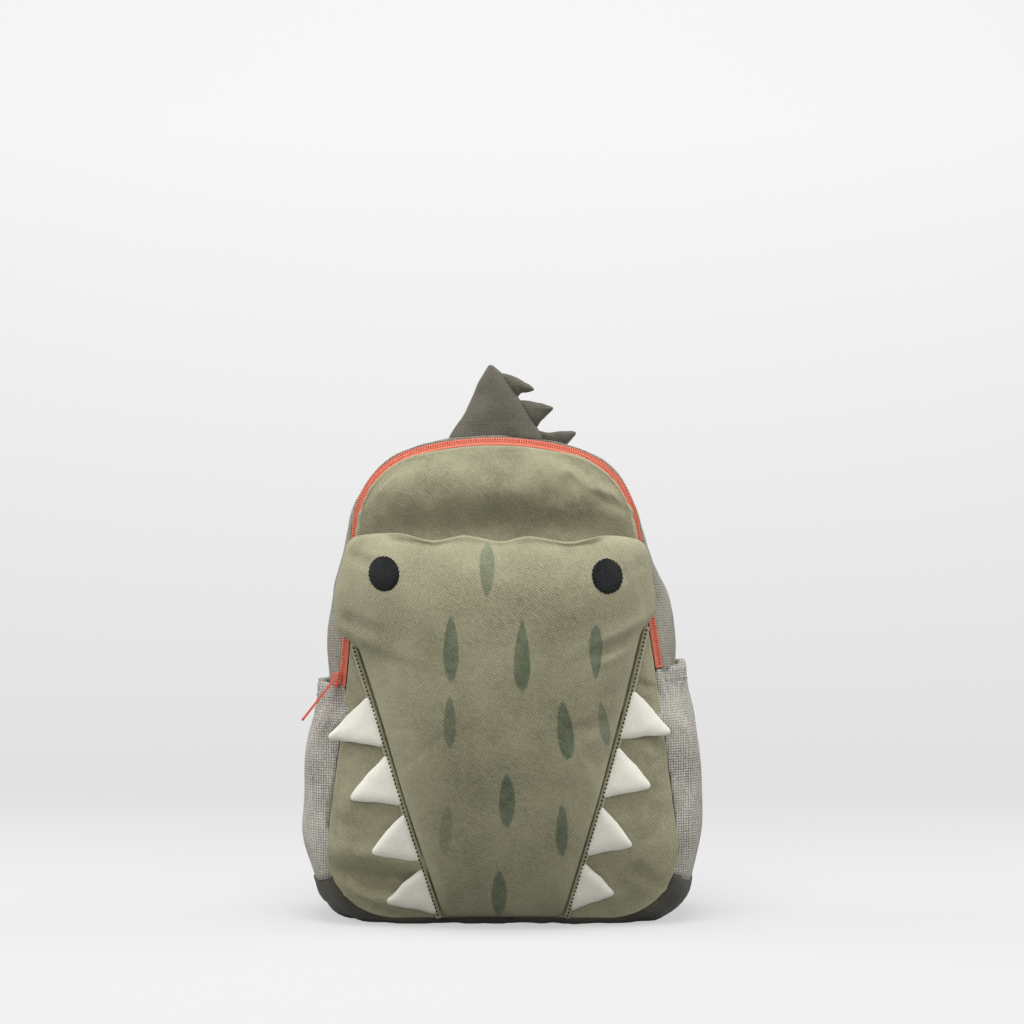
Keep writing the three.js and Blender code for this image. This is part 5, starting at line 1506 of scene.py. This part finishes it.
# %% [markdown]
# ## Back, straps and their hardware
#
# The back is a firm pad, so its CAD solid only needs a rolled edge. The straps are padded cloth, and the
# webbing and the hanging loop are flat woven tape. They are copies of their solids, rounded and smoothed.

# %% Back and straps
straps = {}
back = copy_of("back_panel", "padded_back")
apply(back, "BEVEL", width=1.5 * MM, segments=3, limit_method="ANGLE", angle_limit=math.radians(40))
alone(back)
bpy.ops.object.shade_smooth()
unwrap(back)
dress(back, grey_cloth, "grey_cloth", "back_panel")
for side in ("left", "right"):
    strap = copy_of("strap_" + side, "padded_strap_" + side)
    smooth(strap, 2)
    ripple(strap, 24, 0.8, seed=2)
    unwrap(strap)
    dress(strap, dark_cloth, "dark_cloth", "strap_" + side)
    straps[side] = surface_of(strap)
    webbing = copy_of("webbing_" + side, "strap_webbing_" + side)
    smooth(webbing, 2)
    unwrap(webbing)
    dress(webbing, webbing_cloth, "webbing", "webbing_" + side)
loop = copy_of("haul_loop", "hanging_loop")
smooth(loop, 2)
unwrap(loop)
dress(loop, webbing_cloth, "webbing", "haul_loop")

# %% Buckles and corners
anchors = {}
for side in ("left", "right"):
    buckle = copy_of("buckle_" + side, "ladder_buckle_" + side)
    apply(buckle, "BEVEL", width=0.6 * MM, segments=3, limit_method="ANGLE", angle_limit=math.radians(30))
    bpy.ops.object.shade_smooth_by_angle(angle=math.radians(35))
    dress(buckle, dark_plastic, "dark_plastic", "buckle_" + side)
    anchor = copy_of("anchor_" + side, "strap_corner_" + side)
    apply(anchor, "BEVEL", width=0.8 * MM, segments=3, limit_method="ANGLE", angle_limit=math.radians(30))
    bpy.ops.object.shade_smooth_by_angle(angle=math.radians(35))
    unwrap(anchor)
    dress(anchor, dark_cloth, "dark_cloth", "anchor_" + side)
    anchors[side] = surface_of(anchor)

# %% [markdown]
# ## Stitches on the pockets, the straps and the back
#
# Top stitching holds the elastic in each hem, binds the straps' edges, runs round the back pad and nails
# down the webbing's corners. Each row is laid on its skin by a line of rays, so it follows every fold.

# %% Top stitching
STITCH_PITCH = 3.4
TOP_STITCH = (2.2, 0.7)
CORNER_PITCH = 2.8
CORNER_STITCH = (1.9, 0.7)
FROM_BEHIND = (0, -1, 0)
BACK_SEAM_SHARE = 0.9
HEM_HALF = 38
STRAP_EDGE = 17
STRAP_SEWN = (266, 128)
for side, outward in (("left", -1), ("right", 1)):
    hem_height = POCKET_TOP[side] - HEM_TALL - 0.5
    line = [(outward * 300, -HEM_HALF + (2 * HEM_HALF + 2) * i / 80, hem_height) for i in range(81)]
    towards = (-outward, 0, 0)
    hem = "hem_stitches_" + side
    sewn_row(hem, pockets[side], line, towards, STITCH_PITCH, *TOP_STITCH, pale_thread, "check_cloth")
    for edge in (-STRAP_EDGE, STRAP_EDGE):
        line = []
        for i in range(100):
            z = lerp(*STRAP_SEWN, i / 99)
            middle = lerp(30, 54, (276 - z) / 154) * outward
            line.append((middle + edge + lean_at(z), 300, z))
        name = f"strap_stitches_{side}_{'outer' if edge * outward > 0 else 'inner'}"
        sewn_row(name, straps[side], line, FROM_BEHIND, STITCH_PITCH, *TOP_STITCH, pale_thread, "dark_cloth")
    line = [(outward * 80 - 11 + 22 * i / 30, 300, 17) for i in range(31)]
    name = "corner_stitches_" + side
    sewn_row(name, anchors[side], line, FROM_BEHIND, CORNER_PITCH, *CORNER_STITCH, pale_thread, "dark_cloth")
back_line = []
for i in range(361):
    place = shell_outline.place(BACK_SEAM_SHARE, math.radians(i) - math.pi / 2)
    back_line.append((place.x + lean_at(place.y), 300, place.y))
back_surface = surface_of(back)
name = "back_stitches"
sewn_row(name, back_surface, back_line, FROM_BEHIND, STITCH_PITCH, *TOP_STITCH, pale_thread, "grey_cloth")
